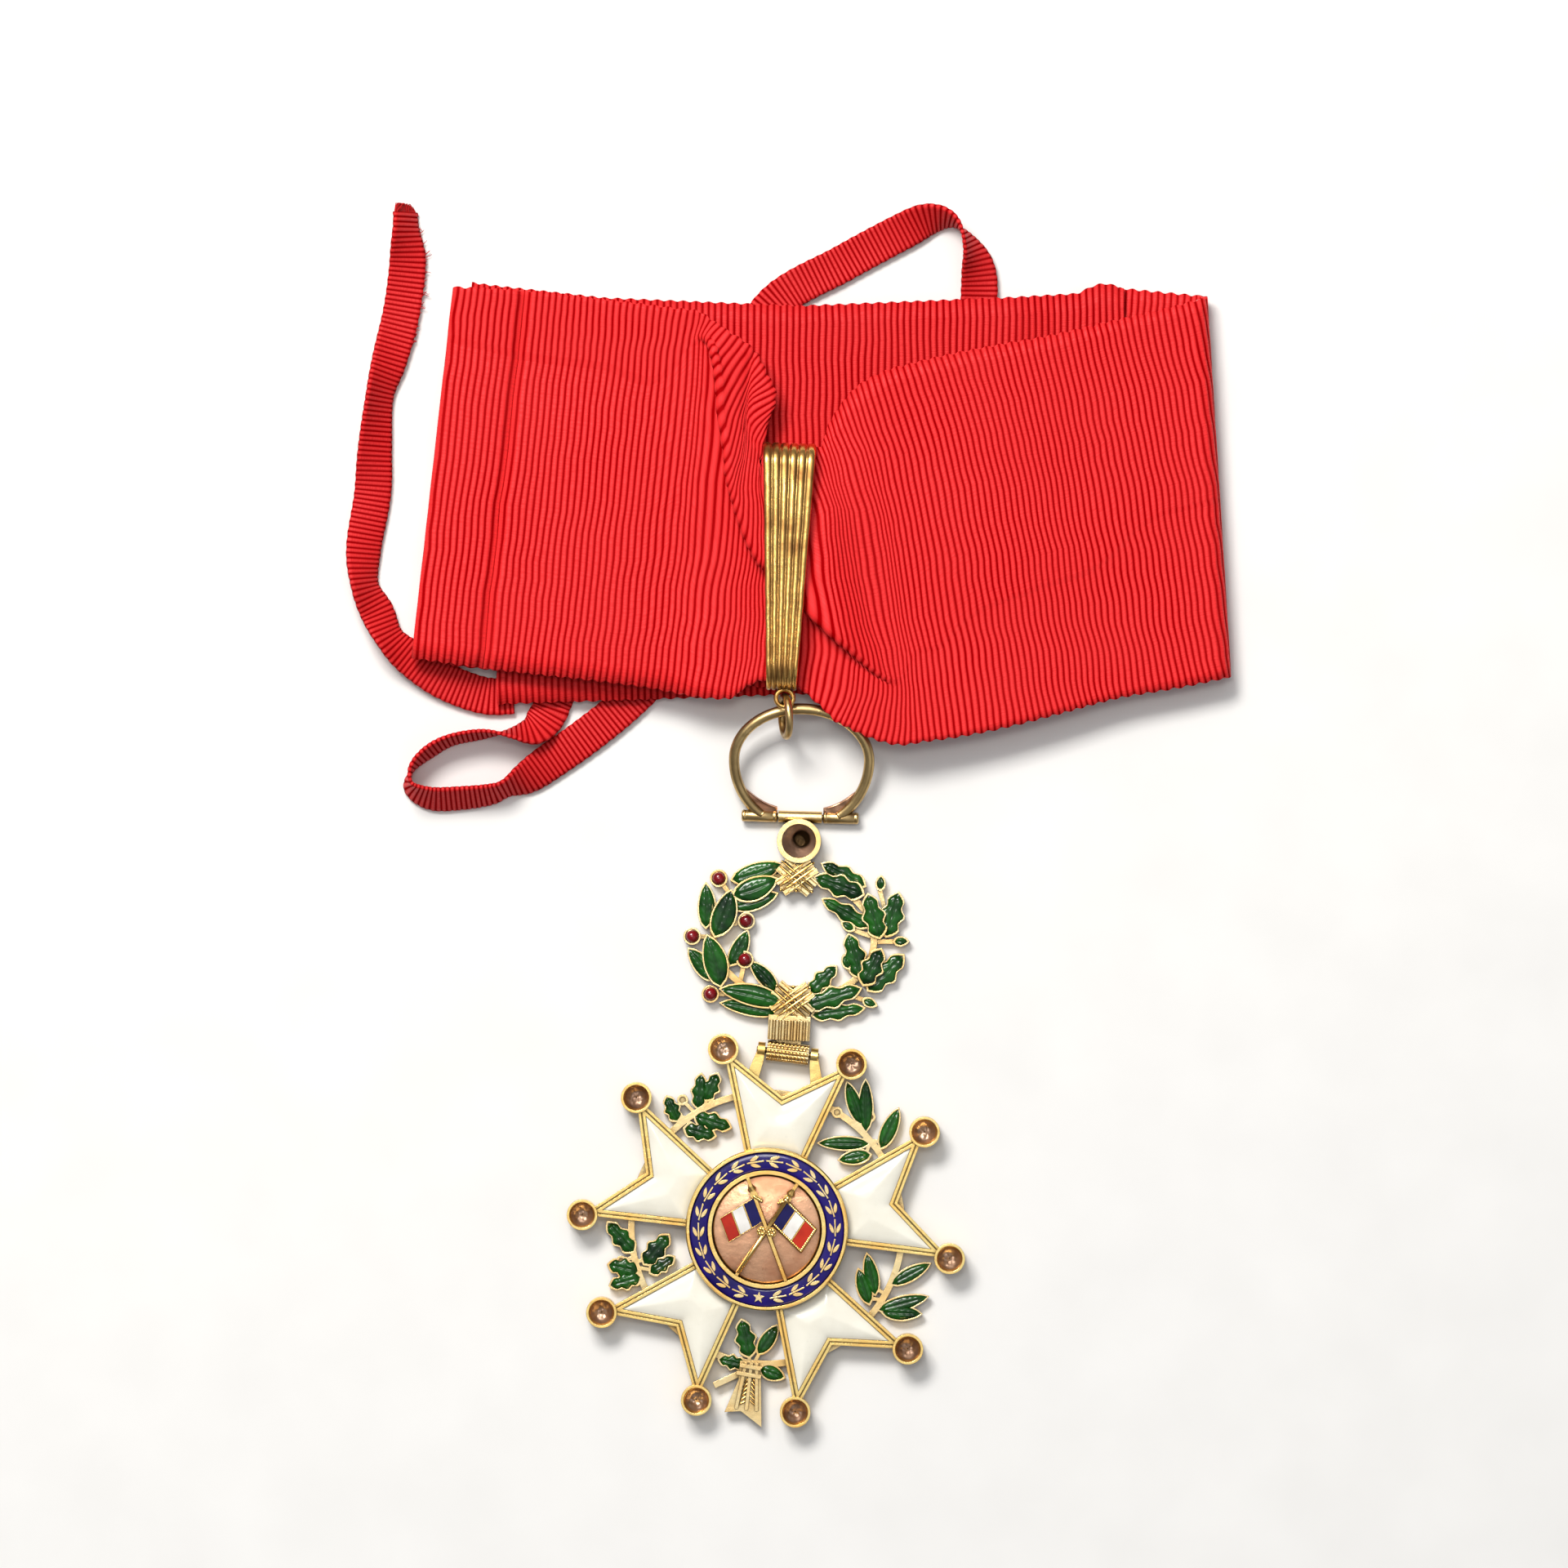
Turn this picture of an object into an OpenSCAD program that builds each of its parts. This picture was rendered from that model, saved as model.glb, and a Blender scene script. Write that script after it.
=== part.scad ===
// Order neck badge: a five-armed enamelled star hinged below a laurel and oak wreath, which is hinged
// below an oval ring. A jump ring links the ring to a reeded bail, and the bail gathers a red neck ribbon
// that lies folded, with a narrow tie at each end. The badge lies on its back on a table at z = 0, the
// origin is the star's centre, X runs to the right and Y up towards the ribbon.

/* [Star] */
// Distance from the star's centre to the centre of each cup
cup_reach = 28.1; // [25:0.1:32]
// Angle between an arm's axis and each of its two cups
cup_spread = 20.4; // [18:0.1:23]
// Outer diameter of a cup
cup_d = 4.66; // [3.8:0.02:5.4]
// Wall of a cup at its lip
cup_wall = 0.38; // [0.3:0.01:0.6]
// Height of a cup
cup_h = 3; // [2.2:0.1:3.6]
// Distance from the star's centre to the notch of an arm
notch_reach = 20.2; // [18.5:0.1:22]
// Half of the width that an arm's edges would have at the centre
arm_root = 1.04; // [0.6:0.02:1.4]
// Width of the gold border round an arm
border_w = 1.05; // [0.8:0.01:1.3]
// Thickness of an arm's plate below the enamel
arm_floor = 0.8; // [0.6:0.05:1.2]
// Height of an arm's border over its floor
border_h = 0.9; // [0.6:0.05:1.2]
// Turn of the star against the picture's upright
star_tilt = -6.8; // [-12:0.1:12]
// Gap between the star's barrel and each ear
star_swing_gap = 0.3; // [0.2:0.05:0.5]

/* [Medallion] */
// Outer diameter of the blue band
band_d = 23.5; // [21:0.1:24.2]
// Width of the blue band
band_w = 2.8; // [2.4:0.1:3.2]
// Width of the medallion's rim round the band
medal_rim = 0.55; // [0.4:0.05:0.9]
// Width of the rim between the band and the domed centre
inner_rim = 0.6; // [0.4:0.05:0.9]
// Height of the medallion over the arms
medal_h = 2; // [1.6:0.1:2.4]
// Length of a flag along its pole, as a share of the domed centre's diameter
flag_hoist_share = 0.2335; // [0.18:0.005:0.25]
// Length of a flag away from its pole, as a share of the domed centre's diameter
flag_fly_share = 0.3713; // [0.3:0.005:0.39]
// Angle of each flag pole against the star's axis
pole_angle = 27; // [24:0.5:30]
// Diameter of the plate on the star's back
reverse_d = 23; // [20:0.1:24]

/* [Leaf crown] */
// Radius of the round stem that carries the sprays
crown_r = 20.6; // [19.5:0.1:21.5]
// Width of that stem
crown_stem_w = 1; // [0.8:0.05:1.3]
// Thickness of the sprays
crown_h = 0.95; // [0.7:0.05:1]
// Width of the widest spray leaf
spray_leaf_w = 3.2; // [2.7:0.05:3.4]
// Gold rim round each green leaf
leaf_rim = 0.24; // [0.18:0.01:0.35]

/* [Wreath] */
// Width of the wreath
wreath_w = 34.9; // [33:0.1:37]
// Height of the wreath from leaf to leaf
wreath_h = 25; // [24:0.1:26]
// Width of the widest wreath leaf
wreath_leaf_w = 3.85; // [3.4:0.05:4.1]
// Height of the rear leaves
rear_leaf_h = 1.4; // [1.1:0.05:1.6]
// Height of the front leaves
front_leaf_h = 2.1; // [1.8:0.05:2.4]
// Diameter of a berry
berry_d = 2; // [1.6:0.05:2.3]
// Turn of the wreath against the picture's upright
wreath_tilt = -3; // [-10:0.1:10]
// Outer diameter of the wreath's collet
collet_d = 6.7; // [6:0.1:7.4]
// Distance from the wreath's centre to the star's hinge pin
low_drop = 17.4; // [17:0.1:19]
// Distance from the wreath's centre to the ring's hinge pin
high_drop = 18.45; // [18:0.05:20]

/* [Hinges] */
// Distance from the star's centre to its hinge pin
pin_reach = 26.9; // [26:0.1:28]
// Diameter of the star's barrel
barrel_d = 3.1; // [2.8:0.05:3.2]
// Width of the star's barrel
barrel_w = 6.4; // [5.6:0.1:7]
// Diameter of both hinge pins
pin_d = 0.9; // [0.7:0.05:1.1]
// Diameter of the ring's hinge bar
bar_d = 1.8; // [1.6:0.05:2]
// Length of the ring's hinge bar
bar_l = 17.8; // [17:0.1:18.4]
// Width of the wreath's knuckle between the ring's two
knuckle_w = 6.6; // [5.8:0.1:7.2]
// Turn of the ring's hinge bar against the picture's upright
bar_tilt = -1.5; // [-6:0.1:6]
// Running clearance round a pin, on the radius
pin_gap = 0.04; // [0.02:0.01:0.08]

/* [Suspension ring] */
// Outer width of the ring
ring_w = 21.8; // [20:0.1:23]
// Height of the ring over its hinge bar
ring_h = 17.7; // [17:0.1:19]
// Height of the ring's widest place over its hinge bar
ring_belly = 9; // [8.5:0.1:9.5]
// Width of the ring's band, seen from the front
ring_band = 1.3; // [1.1:0.05:1.4]
// Depth of the ring's band
ring_depth = 1.6; // [1.4:0.05:1.7]

/* [Jump ring and bail] */
// Diameter of the jump ring along its wire's centre
jump_d = 6; // [5.8:0.1:6.4]
// Wire of the jump ring
jump_wire = 1.1; // [0.9:0.05:1.15]
// Length of the bail
bail_l = 37.5; // [35:0.1:40]
// Width of the bail at its top
bail_top_w = 8.1; // [7:0.1:9]
// Width of the bail at its bottom
bail_low_w = 4.6; // [4:0.1:5.5]
// Thickness of the bail's reeded metal
bail_t = 1.2; // [1:0.05:1.4]
// Turn of the bail against the picture's upright
bail_tilt = -2; // [-5:0.1:5]

/* [Ribbon] */
// Width of the neck ribbon
ribbon_w = 57.8; // [55:0.1:61]
// Thickness of the ribbon and of the ties
cloth_t = 1; // [0.9:0.05:1.1]
// Distance from the bail's middle to the ribbon's left fold
ribbon_left = 53.6; // [50:0.1:58]
// Distance from the bail's middle to the ribbon's right fold
ribbon_right = 66.2; // [62:0.1:72]
// Width of a tie
tie_w = 5.7; // [5:0.1:6.2]

/* [Hidden] */
$fn = 48;

// Small clearances
seat = 0.05;
gap = 0.3;

// Levels of the star, from the table up
crown_z = 0.5;
arm_z = crown_z + crown_h + seat;
floor_z = arm_z + arm_floor;
border_z = floor_z + border_h;
medal_z = border_z;

// Medallion, from the band's outer edge inwards and outwards
medal_d = band_d + 2 * medal_rim;
band_in_d = band_d - 2 * band_w;
disc_d = band_in_d - 2 * inner_rim;

// Hinge centres, one after the other up the badge
function toward(tilt) = [-sin(tilt), cos(tilt)];
star_pin_at = pin_reach * toward(star_tilt);
wreath_at = star_pin_at + low_drop * toward(wreath_tilt);
bar_at = wreath_at + high_drop * toward(wreath_tilt);
star_axis_z = barrel_d / 2 + seat;
bar_z = bar_d / 2 + 0.2;

// Levels of the cloth and the bail, from the table up
ply = cloth_t + gap;
pleat_turn = 0.85 * cloth_t;
under_z = ply + cloth_t / 2;
back_z = under_z + ply;
flat_z = back_z + ply;
bail_rear_z = back_z + cloth_t / 2 + gap + bail_t / 2;
gather_z = bail_rear_z + bail_t / 2 + gap + cloth_t / 2;
bail_front_z = gather_z + 4 * pleat_turn + cloth_t / 2 + gap + bail_t / 2;
bail_mid_z = (bail_rear_z + bail_front_z) / 2;
bail_bend = (bail_front_z - bail_rear_z) / 2;

// Jump ring: it hangs in the bail's eye and holds the suspension ring
jump_r = jump_d / 2;
jump_side = -2.65;
jump_turn = 3;
eye_hole = jump_wire / 2 + 0.4;
eye_wire = 0.7;
eye_lift = 0.4 * jump_r;
jump_z = bail_mid_z + 0.4 - eye_lift;
ring_top_z = jump_z - 1;
ring_rise = asin((ring_top_z - bar_z) / (ring_h - ring_band / 2));
jump_on_ring = ring_belly + (ring_h - ring_belly) * sqrt(1 - pow(2 * jump_side / ring_w, 2)) - ring_band / 2;
jump_at = bar_at + jump_on_ring * cos(ring_rise) * toward(bar_tilt)
    + jump_side * [cos(bar_tilt), sin(bar_tilt)] - [0, jump_r / 2 - 0.55];
eye_at = jump_at + sqrt(pow(jump_r, 2) - pow(eye_lift, 2)) * toward(jump_turn);
bail_low = eye_at + [-0.5, eye_hole + eye_wire - 0.5];
bail_mid = bail_low + bail_l / 2 * toward(bail_tilt);

// Plain vector helpers
function unit(v) = v / norm(v);
function left_of(v) = [-v[1], v[0]];
function lerp(a, b, t) = a + (b - a) * t;

// A closed outline, its points moved inwards by d (outline runs anticlockwise)
function inset(p, d) = let (n = len(p)) [for (i = [0:n - 1])
    let (n1 = left_of(unit(p[i] - p[(i + n - 1) % n])), n2 = left_of(unit(p[(i + 1) % n] - p[i])))
    p[i] + d * (n1 + n2) / (1 + n1 * n2)];

// Leaf outlines from base to tip along +X: l is the length, w the width, bow the bend sideways
function spine(t, bow) = bow * 4 * t * (1 - t);
function laurel_half(t, w) = w / 2 * pow(sin(180 * pow(t, 0.88)), 0.68);
function oak_half(t, w) = w / 2 * pow(sin(180 * (0.03 + 0.94 * pow(t, 0.85))), 0.7)
    * (1.14 - 0.38 * (0.5 + 0.5 * cos(1080 * t)));
function leaf_side(oak, t, w) = t <= 0 || t >= 1 ? 0 : oak ? oak_half(t, w) : laurel_half(t, w);
function leaf_outline(oak, l, w, bow) = let (n = oak ? 15 : 9) concat(
    [for (i = [0:n]) let (t = i / n) [l * t, spine(t, bow) - leaf_side(oak, t, w)]],
    [for (i = [n - 1:-1:1]) let (t = i / n) [l * t, spine(t, bow) + leaf_side(oak, t, w)]]);

// One leaf laid from base to tip, grown sideways and at its ends by grow (a negative one shrinks it)
module leaf(base, tip, w, oak = false, bow = 0, grow = 0) {
    l = norm(tip - base);
    translate(base)
        rotate(atan2(tip[1] - base[1], tip[0] - base[0]))
            translate([-1.5 * grow, 0])
                polygon(leaf_outline(oak, l + 3 * grow, w + 2 * grow, bow));
}

module bar2d(a, b, w) {
    translate(a)
        rotate(atan2(b[1] - a[1], b[0] - a[0]))
            translate([-w / 4, -w / 2])
                square([norm(b - a) + w / 2, w]);
}

module slab(z, h) {
    translate([0, 0, z]) linear_extrude(h) children();
}

module star_place() {
    rotate(star_tilt) children();
}

module wreath_place() {
    translate(wreath_at) rotate(wreath_tilt) children();
}

module bar_place() {
    translate([bar_at[0], bar_at[1], bar_z]) rotate(bar_tilt) children();
}

// A thick sheet through rows of points: its two faces lie t / 2 to each side
function sheet_normal(g, i, j) = let (
    rows = len(g), cols = len(g[0]),
    along = g[min(i + 1, rows - 1)][j] - g[max(i - 1, 0)][j],
    across = g[i][min(j + 1, cols - 1)] - g[i][max(j - 1, 0)])
    unit(cross(along, across));
function sheet_points(g, t) = [for (side = [t / 2, -t / 2]) for (i = [0:len(g) - 1])
    for (j = [0:len(g[0]) - 1]) g[i][j] + side * sheet_normal(g, i, j)];
function sheet_faces(rows, cols) = let (under = rows * cols) concat(
    [for (i = [0:rows - 2]) for (j = [0:cols - 2]) let (a = i * cols + j)
        each [[a, a + 1, a + cols], [a + 1, a + cols + 1, a + cols]]],
    [for (i = [0:rows - 2]) for (j = [0:cols - 2]) let (a = under + i * cols + j)
        each [[a, a + cols, a + 1], [a + 1, a + cols, a + cols + 1]]],
    [for (i = [0:rows - 2]) for (j = [0, cols - 1]) let (a = i * cols + j, b = a + cols, s = j == 0)
        each s ? [[a, b, b + under], [a, b + under, a + under]]
            : [[b, a, a + under], [b, a + under, b + under]]],
    [for (j = [0:cols - 2]) for (i = [0, rows - 1]) let (a = i * cols + j, b = a + 1, s = i == 0)
        each s ? [[b, a, a + under], [b, a + under, b + under]]
            : [[a, b, b + under], [a, b + under, a + under]]]);
module sheet(g, t) {
    polyhedron(sheet_points(g, t), sheet_faces(len(g), len(g[0])), convexity = 10);
}

// A closed or open tube through rings of points
function tube_faces(rows, cols, closed) = concat(
    [for (i = [0:rows - (closed ? 1 : 2)]) for (j = [0:cols - 1])
        let (a = i * cols + j, b = i * cols + (j + 1) % cols, up = ((i + 1) % rows - i) * cols)
        each [[a, a + up, b], [b, a + up, b + up]]],
    closed ? [] : [[for (j = [0:cols - 1]) j], [for (j = [cols - 1:-1:0]) (rows - 1) * cols + j]]);

// Section of the ribbon across its width, as [height, lift] points. One Z pleat takes up what the height
// leaves over: two turns, and a lap between them once they lie flat. fold is the place of the pleat's
// middle, as a share of the height.
gathered_w = bail_l - 2 * bail_t - 2.4;
lap_min = 0.3;
function spare(r, a) = 2 * r * (a * PI / 180 - sin(a)) + lap_min * (1 - cos(a));
function turn_for(r, e, lo = 0, hi = 180, n = 14) = let (m = (lo + hi) / 2)
    n == 0 ? m : spare(r, m) < e ? turn_for(r, e, m, hi, n - 1) : turn_for(r, e, lo, m, n - 1);
function section(h, fold) = let (
    e = ribbon_w - h,
    whole = spare(pleat_turn, 180),
    r = pleat_turn + 0.4 * (1 - min(1, e / whole)),
    a = e >= whole ? 180 : max(40, turn_for(r, e)),
    lap = lap_min + max(0, e - whole) / 2,
    wide = 2 * r * sin(a) + lap * cos(a),
    made = min(1, e / spare(r, 40)),
    high = made * (2 * r * (1 - cos(a)) + lap * sin(a)),
    foot = fold * h - wide / 2,
    crest = max(foot + wide + 1, foot + r + cloth_t))
    concat(
        [[0, 0.3 * high], [foot / 2, 0.1 * high]],
        [for (k = [0:3]) [foot + r * sin(a * k / 3), made * r * (1 - cos(a * k / 3))]],
        [for (k = [3:-1:0]) [foot + wide - r * sin(a * k / 3), high - made * r * (1 - cos(a * k / 3))]],
        [[crest, high], [(crest + h) / 2, 0.75 * high], [h, 0.5 * high]]);

// Reach: 1 is the bail's edge, 2 the outer fold, below 0 to the left. Rise is a share of the ribbon's width
// over the bail's middle, lean is in degrees, slack is the share of the full gathering, fold is the pleat's
// place, and lift is a share of the step from the flat cloth up to the gathered cloth.
// [reach, rise, lean, slack, fold, lift]
front_rows = [
    [-1.919, 0.250, 5, 0, 0.46, 0],
    [-1.724, 0.224, 1.8, 0, 0.46, 0.15],
    [-1.481, 0.200, 0.8, 0, 0.45, 0.35],
    [-1.31, 0.178, 2, 0, 0.445, 0.65],
    [-1.229, 0.166, 4.2, 0.02, 0.44, 0.9],
    [-1.166, 0.137, 6.5, 0.1, 0.45, 1],
    [-1.12, 0.114, 8.3, 0.21, 0.467, 1],
    [-1.101, 0.09, 7.3, 0.31, 0.484, 1],
    [-1.078, 0.056, 6.8, 0.47, 0.52, 1],
    [-1.056, 0.024, 5.6, 0.65, 0.562, 1],
    [-1.033, 0.002, 3.8, 0.85, 0.595, 1],
    [-0.937, 0, 2.3, 1, 0.592, 1],
    [0, 0, 3, 1, 0.506, 1],
    [0.5, 0, 5, 1, 0.46, 1],
    [0.86, 0.009, 6.2, 0.97, 0.41, 1],
    [1.01, 0.028, 6.2, 0.84, 0.388, 1.15],
    [1.036, 0.04, 5.9, 0.66, 0.383, 1.4],
    [1.07, 0.038, 5, 0.42, 0.383, 1.65],
    [1.103, 0.038, 4, 0.26, 0.367, 1.75],
    [1.146, 0.034, 2.6, 0.139, 0.345, 1.8],
    [1.21, 0.036, 0.8, 0.036, 0.285, 1.75],
    [1.264, 0.039, -1.2, 0, 0.27, 1.6],
    [1.443, 0.075, -1.8, 0, 0.3, 1.2],
    [1.630, 0.124, -2.6, 0, 0.35, 0.7],
    [1.839, 0.172, -2.5, 0, 0.4, 0.3]];
// The lower layer, from its hem to the right fold, and the layer over it, from the left fold to its hem.
// Level is a share of the height of that layer's cloth where the ties run below it.
// [reach, rise, lean, level]
under_rows = [
    [-1.816, 0.143, -1, 1],
    [-1.387, 0.155, -1, 1],
    [-0.79, 0.167, -1, 1],
    [1.506, 0.190, -2, 1],
    [1.602, 0.193, -2, 0.28],
    [1.858, 0.203, -3, 0.28]];
back_rows = [
    [-1.868, 0.240, 4, 1],
    [-1.487, 0.205, 1, 1],
    [0.6, 0.184, 0, 1],
    [1.506, 0.207, -0.6, 1],
    [1.602, 0.214, -0.8, 0.58],
    [1.775, 0.225, -1, 0.58]];
left_fold = [-2, 0.254, 5.8];
right_fold = [2, 0.205, -3.6];
fold_steps = 6;

bail_edge = (bail_top_w + bail_low_w) / 4 + 0.4;
function reach_x(r) = let (side = sign(r), far = r < 0 ? ribbon_left : ribbon_right)
    abs(r) <= 1 ? r * bail_edge : side * (bail_edge + (abs(r) - 1) * (far - bail_edge));
function cloth_line(x, rise, lean, h, fold, z) = [for (p = section(h, fold))
    [bail_mid[0] + x + (p[0] - h / 2) * sin(lean),
        bail_mid[1] + rise * ribbon_w + (p[0] - h / 2) * cos(lean), z + p[1]]];
function flat_line(row, z) = cloth_line(reach_x(row[0]), row[1], row[2], ribbon_w, 0.5, z);
function turn_line(row, low, high, a) = let (r = (high - low) / 2, out = sign(row[0]))
    cloth_line(reach_x(row[0]) + out * (r * (sin(a) - 1) - cloth_t / 2), row[1], row[2], ribbon_w, 0.5,
        low + r * (1 - cos(a)));
right_low = under_z * under_rows[len(under_rows) - 1][3];
right_high = flat_z + 0.15 * (gather_z - flat_z);
ribbon_grid = concat(
    [for (r = under_rows) flat_line(r, under_z * r[3])],
    [for (i = [0:fold_steps]) turn_line(right_fold, right_low, right_high, 180 * i / fold_steps)],
    [for (i = [len(front_rows) - 1:-1:0]) let (r = front_rows[i])
        cloth_line(reach_x(r[0]), r[1], r[2], ribbon_w - r[3] * (ribbon_w - gathered_w), r[4],
            flat_z + r[5] * (gather_z - flat_z))],
    [for (i = [0:fold_steps]) turn_line(left_fold, back_z, flat_z, 180 - 180 * i / fold_steps)],
    [for (r = back_rows) flat_line(r, back_z * r[3])]);

// Routes of the ties on the table, as shares of the ribbon's width from the bail's middle. Roll is how far
// the tie stands on its edge there.
// [right, up, roll]
left_tie_rows = [
    [-0.714, -0.336, 0], [-0.793, -0.336, 0], [-0.897, -0.298, 5], [-0.984, -0.239, 20], [-1.039, -0.187, 45],
    [-1.073, -0.118, 30], [-1.105, -0.045, 48], [-1.108, 0.054, 25], [-1.086, 0.194, 10], [-1.079, 0.313, 30],
    [-1.067, 0.45, 48], [-1.041, 0.547, 25], [-1.011, 0.668, 5], [-0.994, 0.796, 15], [-0.996, 0.886, 50],
    [-0.997, 0.934, 55]];
right_tie_rows = [
    [0.50, 0.56, 0], [0.508, 0.68, 0], [0.508, 0.77, 20], [0.49, 0.84, 60], [0.445, 0.905, 100], [0.38, 0.915, 140],
    [0.30, 0.88, 170], [0.15, 0.80, 180], [-0.03, 0.695, 180], [-0.13, 0.52, 180], [-0.30, 0.21, 180],
    [-0.47, -0.10, 180], [-0.595, -0.32, 180], [-0.624, -0.384, 180], [-0.66, -0.424, 215], [-0.715, -0.434, 255],
    [-0.79, -0.438, 280], [-0.878, -0.455, 284], [-0.938, -0.488, 286], [-0.98, -0.53, 274], [-0.985, -0.577, 252],
    [-0.932, -0.606, 236], [-0.854, -0.606, 235], [-0.776, -0.597, 240], [-0.731, -0.58, 245], [-0.681, -0.554, 215],
    [-0.62, -0.51, 190], [-0.534, -0.45, 180], [-0.43, -0.367, 180], [-0.317, -0.258, 180]];
tie_steps = 3;
function spline(p, i, t) = let (a = p[max(i - 1, 0)], b = p[i], c = p[i + 1], d = p[min(i + 2, len(p) - 1)])
    0.5 * (2 * b + (c - a) * t + (2 * a - 5 * b + 4 * c - d) * t * t + (3 * b - a - 3 * c + d) * t * t * t);
function smooth_route(p, n) = concat(
    [for (i = [0:len(p) - 2]) for (k = [0:n - 1]) spline(p, i, k / n)], [p[len(p) - 1]]);
function tie_ring(row, heading) = let (
    a = row[2],
    side = left_of(heading),
    z = tie_w / 2 * abs(sin(a)) + cloth_t / 2 * abs(cos(a)),
    wide = [cos(a) * side[0], cos(a) * side[1], sin(a)],
    thin = [-sin(a) * side[0], -sin(a) * side[1], cos(a)],
    c = [bail_mid[0] + row[0] * ribbon_w, bail_mid[1] + row[1] * ribbon_w, z])
    [for (k = [[1, 1], [-1, 1], [-1, -1], [1, -1]]) c + k[0] * tie_w / 2 * wide + k[1] * cloth_t / 2 * thin];
module tie(rows) {
    p = smooth_route(rows, tie_steps);
    n = len(p);
    rings = [for (i = [0:n - 1])
        let (d = p[min(i + 1, n - 1)] - p[max(i - 1, 0)]) tie_ring(p[i], unit([d[0], d[1]]))];
    polyhedron([for (r = rings) each r], tube_faces(n, 4, false), convexity = 10);
}

module neck_ribbon() {
    color("crimson") sheet(ribbon_grid, cloth_t);
}

module tie_left() {
    color("crimson") tie(left_tie_rows);
}

module tie_right() {
    color("crimson") tie(right_tie_rows);
}

// The bail is a reeded strip bent to a long loop: rings of its section follow the loop
bail_reeds = 6;
bail_turns = 8;
bail_straight = bail_l - 2 * bail_bend - bail_t;
function bail_width(y) = lerp(bail_low_w, bail_top_w, y / bail_l);
function bail_ring(y, z, a) = let (w = bail_width(y), n = [0, cos(a), sin(a)])
    concat(
        [for (k = [0:2 * bail_reeds]) [w * (k / (2 * bail_reeds) - 0.5), y, z]
            + n * (bail_t / 2 - (k % 2 == 0 ? 0.3 : 0))],
        [for (s = [0.5, -0.5]) [w * s, y, z] - n * bail_t / 2]);
bail_foot = bail_bend + bail_t / 2;
bail_rings = concat(
    [for (i = [0:4]) bail_ring(bail_foot + bail_straight * i / 4, bail_bend, 90)],
    [for (i = [1:bail_turns - 1]) let (a = 90 - 180 * i / bail_turns)
        bail_ring(bail_foot + bail_straight + bail_bend * cos(a), bail_bend * sin(a), a)],
    [for (i = [4:-1:0]) bail_ring(bail_foot + bail_straight * i / 4, -bail_bend, -90)],
    [for (i = [1:bail_turns - 1]) let (a = -90 - 180 * i / bail_turns)
        bail_ring(bail_foot + bail_bend * cos(a), bail_bend * sin(a), a)]);

module bail() {
    color("darkgoldenrod") {
        translate([bail_low[0], bail_low[1], bail_mid_z])
            rotate(bail_tilt)
                polyhedron([for (r = bail_rings) each r], tube_faces(len(bail_rings), 2 * bail_reeds + 3, true),
                    convexity = 10);
        translate([eye_at[0], eye_at[1], jump_z + eye_lift])
            rotate_extrude() translate([eye_hole + eye_wire / 2, 0]) circle(d = eye_wire);
        translate([eye_at[0] + 0.1, eye_at[1] + eye_hole + eye_wire * 0.6, jump_z + eye_lift])
            rotate([-90, 0, 0]) cylinder(d = 1.1, h = 1.1);
    }
}

module jump_ring() {
    color("goldenrod")
        translate([jump_at[0], jump_at[1], jump_z])
            rotate([0, 90, jump_turn]) rotate_extrude() translate([jump_r, 0]) circle(d = jump_wire);
}

// Half-sizes of the ring's outline grown by g: rounder above its belly than below
ring_points = 56;
ring_low = 11.3 / 8.7 * (ring_h - ring_belly);
function ring_outline(g) = [for (i = [0:ring_points - 1]) let (a = 360 * i / ring_points)
    [(ring_w / 2 + g) * cos(a), ring_belly + ((sin(a) > 0 ? ring_h - ring_belly : ring_low) + g) * sin(a)]];

// A corner web runs from the hinge bar up to web_h along the middle of the band
web_h = 5.4;
web_foot = 0.36 * bar_d;
function ring_middle(y) = let (s = (y - ring_belly) / (ring_low - ring_band / 2))
    [(ring_w - ring_band) / 2 * sqrt(1 - s * s), y];

module ring_band_2d(edge) {
    difference() {
        polygon(ring_outline(-edge));
        polygon(ring_outline(edge - ring_band));
        translate([-ring_w, -ring_w]) square([2 * ring_w, ring_w]);
    }
}

module suspension_ring() {
    foot = knuckle_w / 2 + 0.15;
    color("goldenrod") bar_place() {
        difference() {
            union() {
                rotate([ring_rise, 0, 0]) {
                    slab(-ring_depth / 2, ring_depth) ring_band_2d(0.25);
                    slab(-ring_depth * 0.36, ring_depth * 0.72) ring_band_2d(0);
                    for (side = [-1, 1])
                        slab(-0.35, 0.7) polygon(concat(
                            [[side * foot, web_foot], [side * foot, 1.9], [side * (foot + 1.6), 2.1]],
                            [for (i = [0:4]) let (m = ring_middle(lerp(web_h, web_foot, i / 4))) [side * m[0], m[1]]]));
                }
                for (s = [-1, 1])
                    translate([s * foot, 0, 0]) rotate([0, s * 90, 0]) cylinder(d = bar_d, h = bar_l / 2 - foot);
            }
            rotate([0, 90, 0]) cylinder(d = pin_d + pin_gap, h = bar_l + 2, center = true);
            rotate([0, 90, 0]) cylinder(d = bar_d + 1, h = 2 * foot, center = true);
        }
    }
}

module ring_pin() {
    color("goldenrod") bar_place() rotate([0, 90, 0]) cylinder(d = pin_d, h = bar_l, center = true);
}

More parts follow.
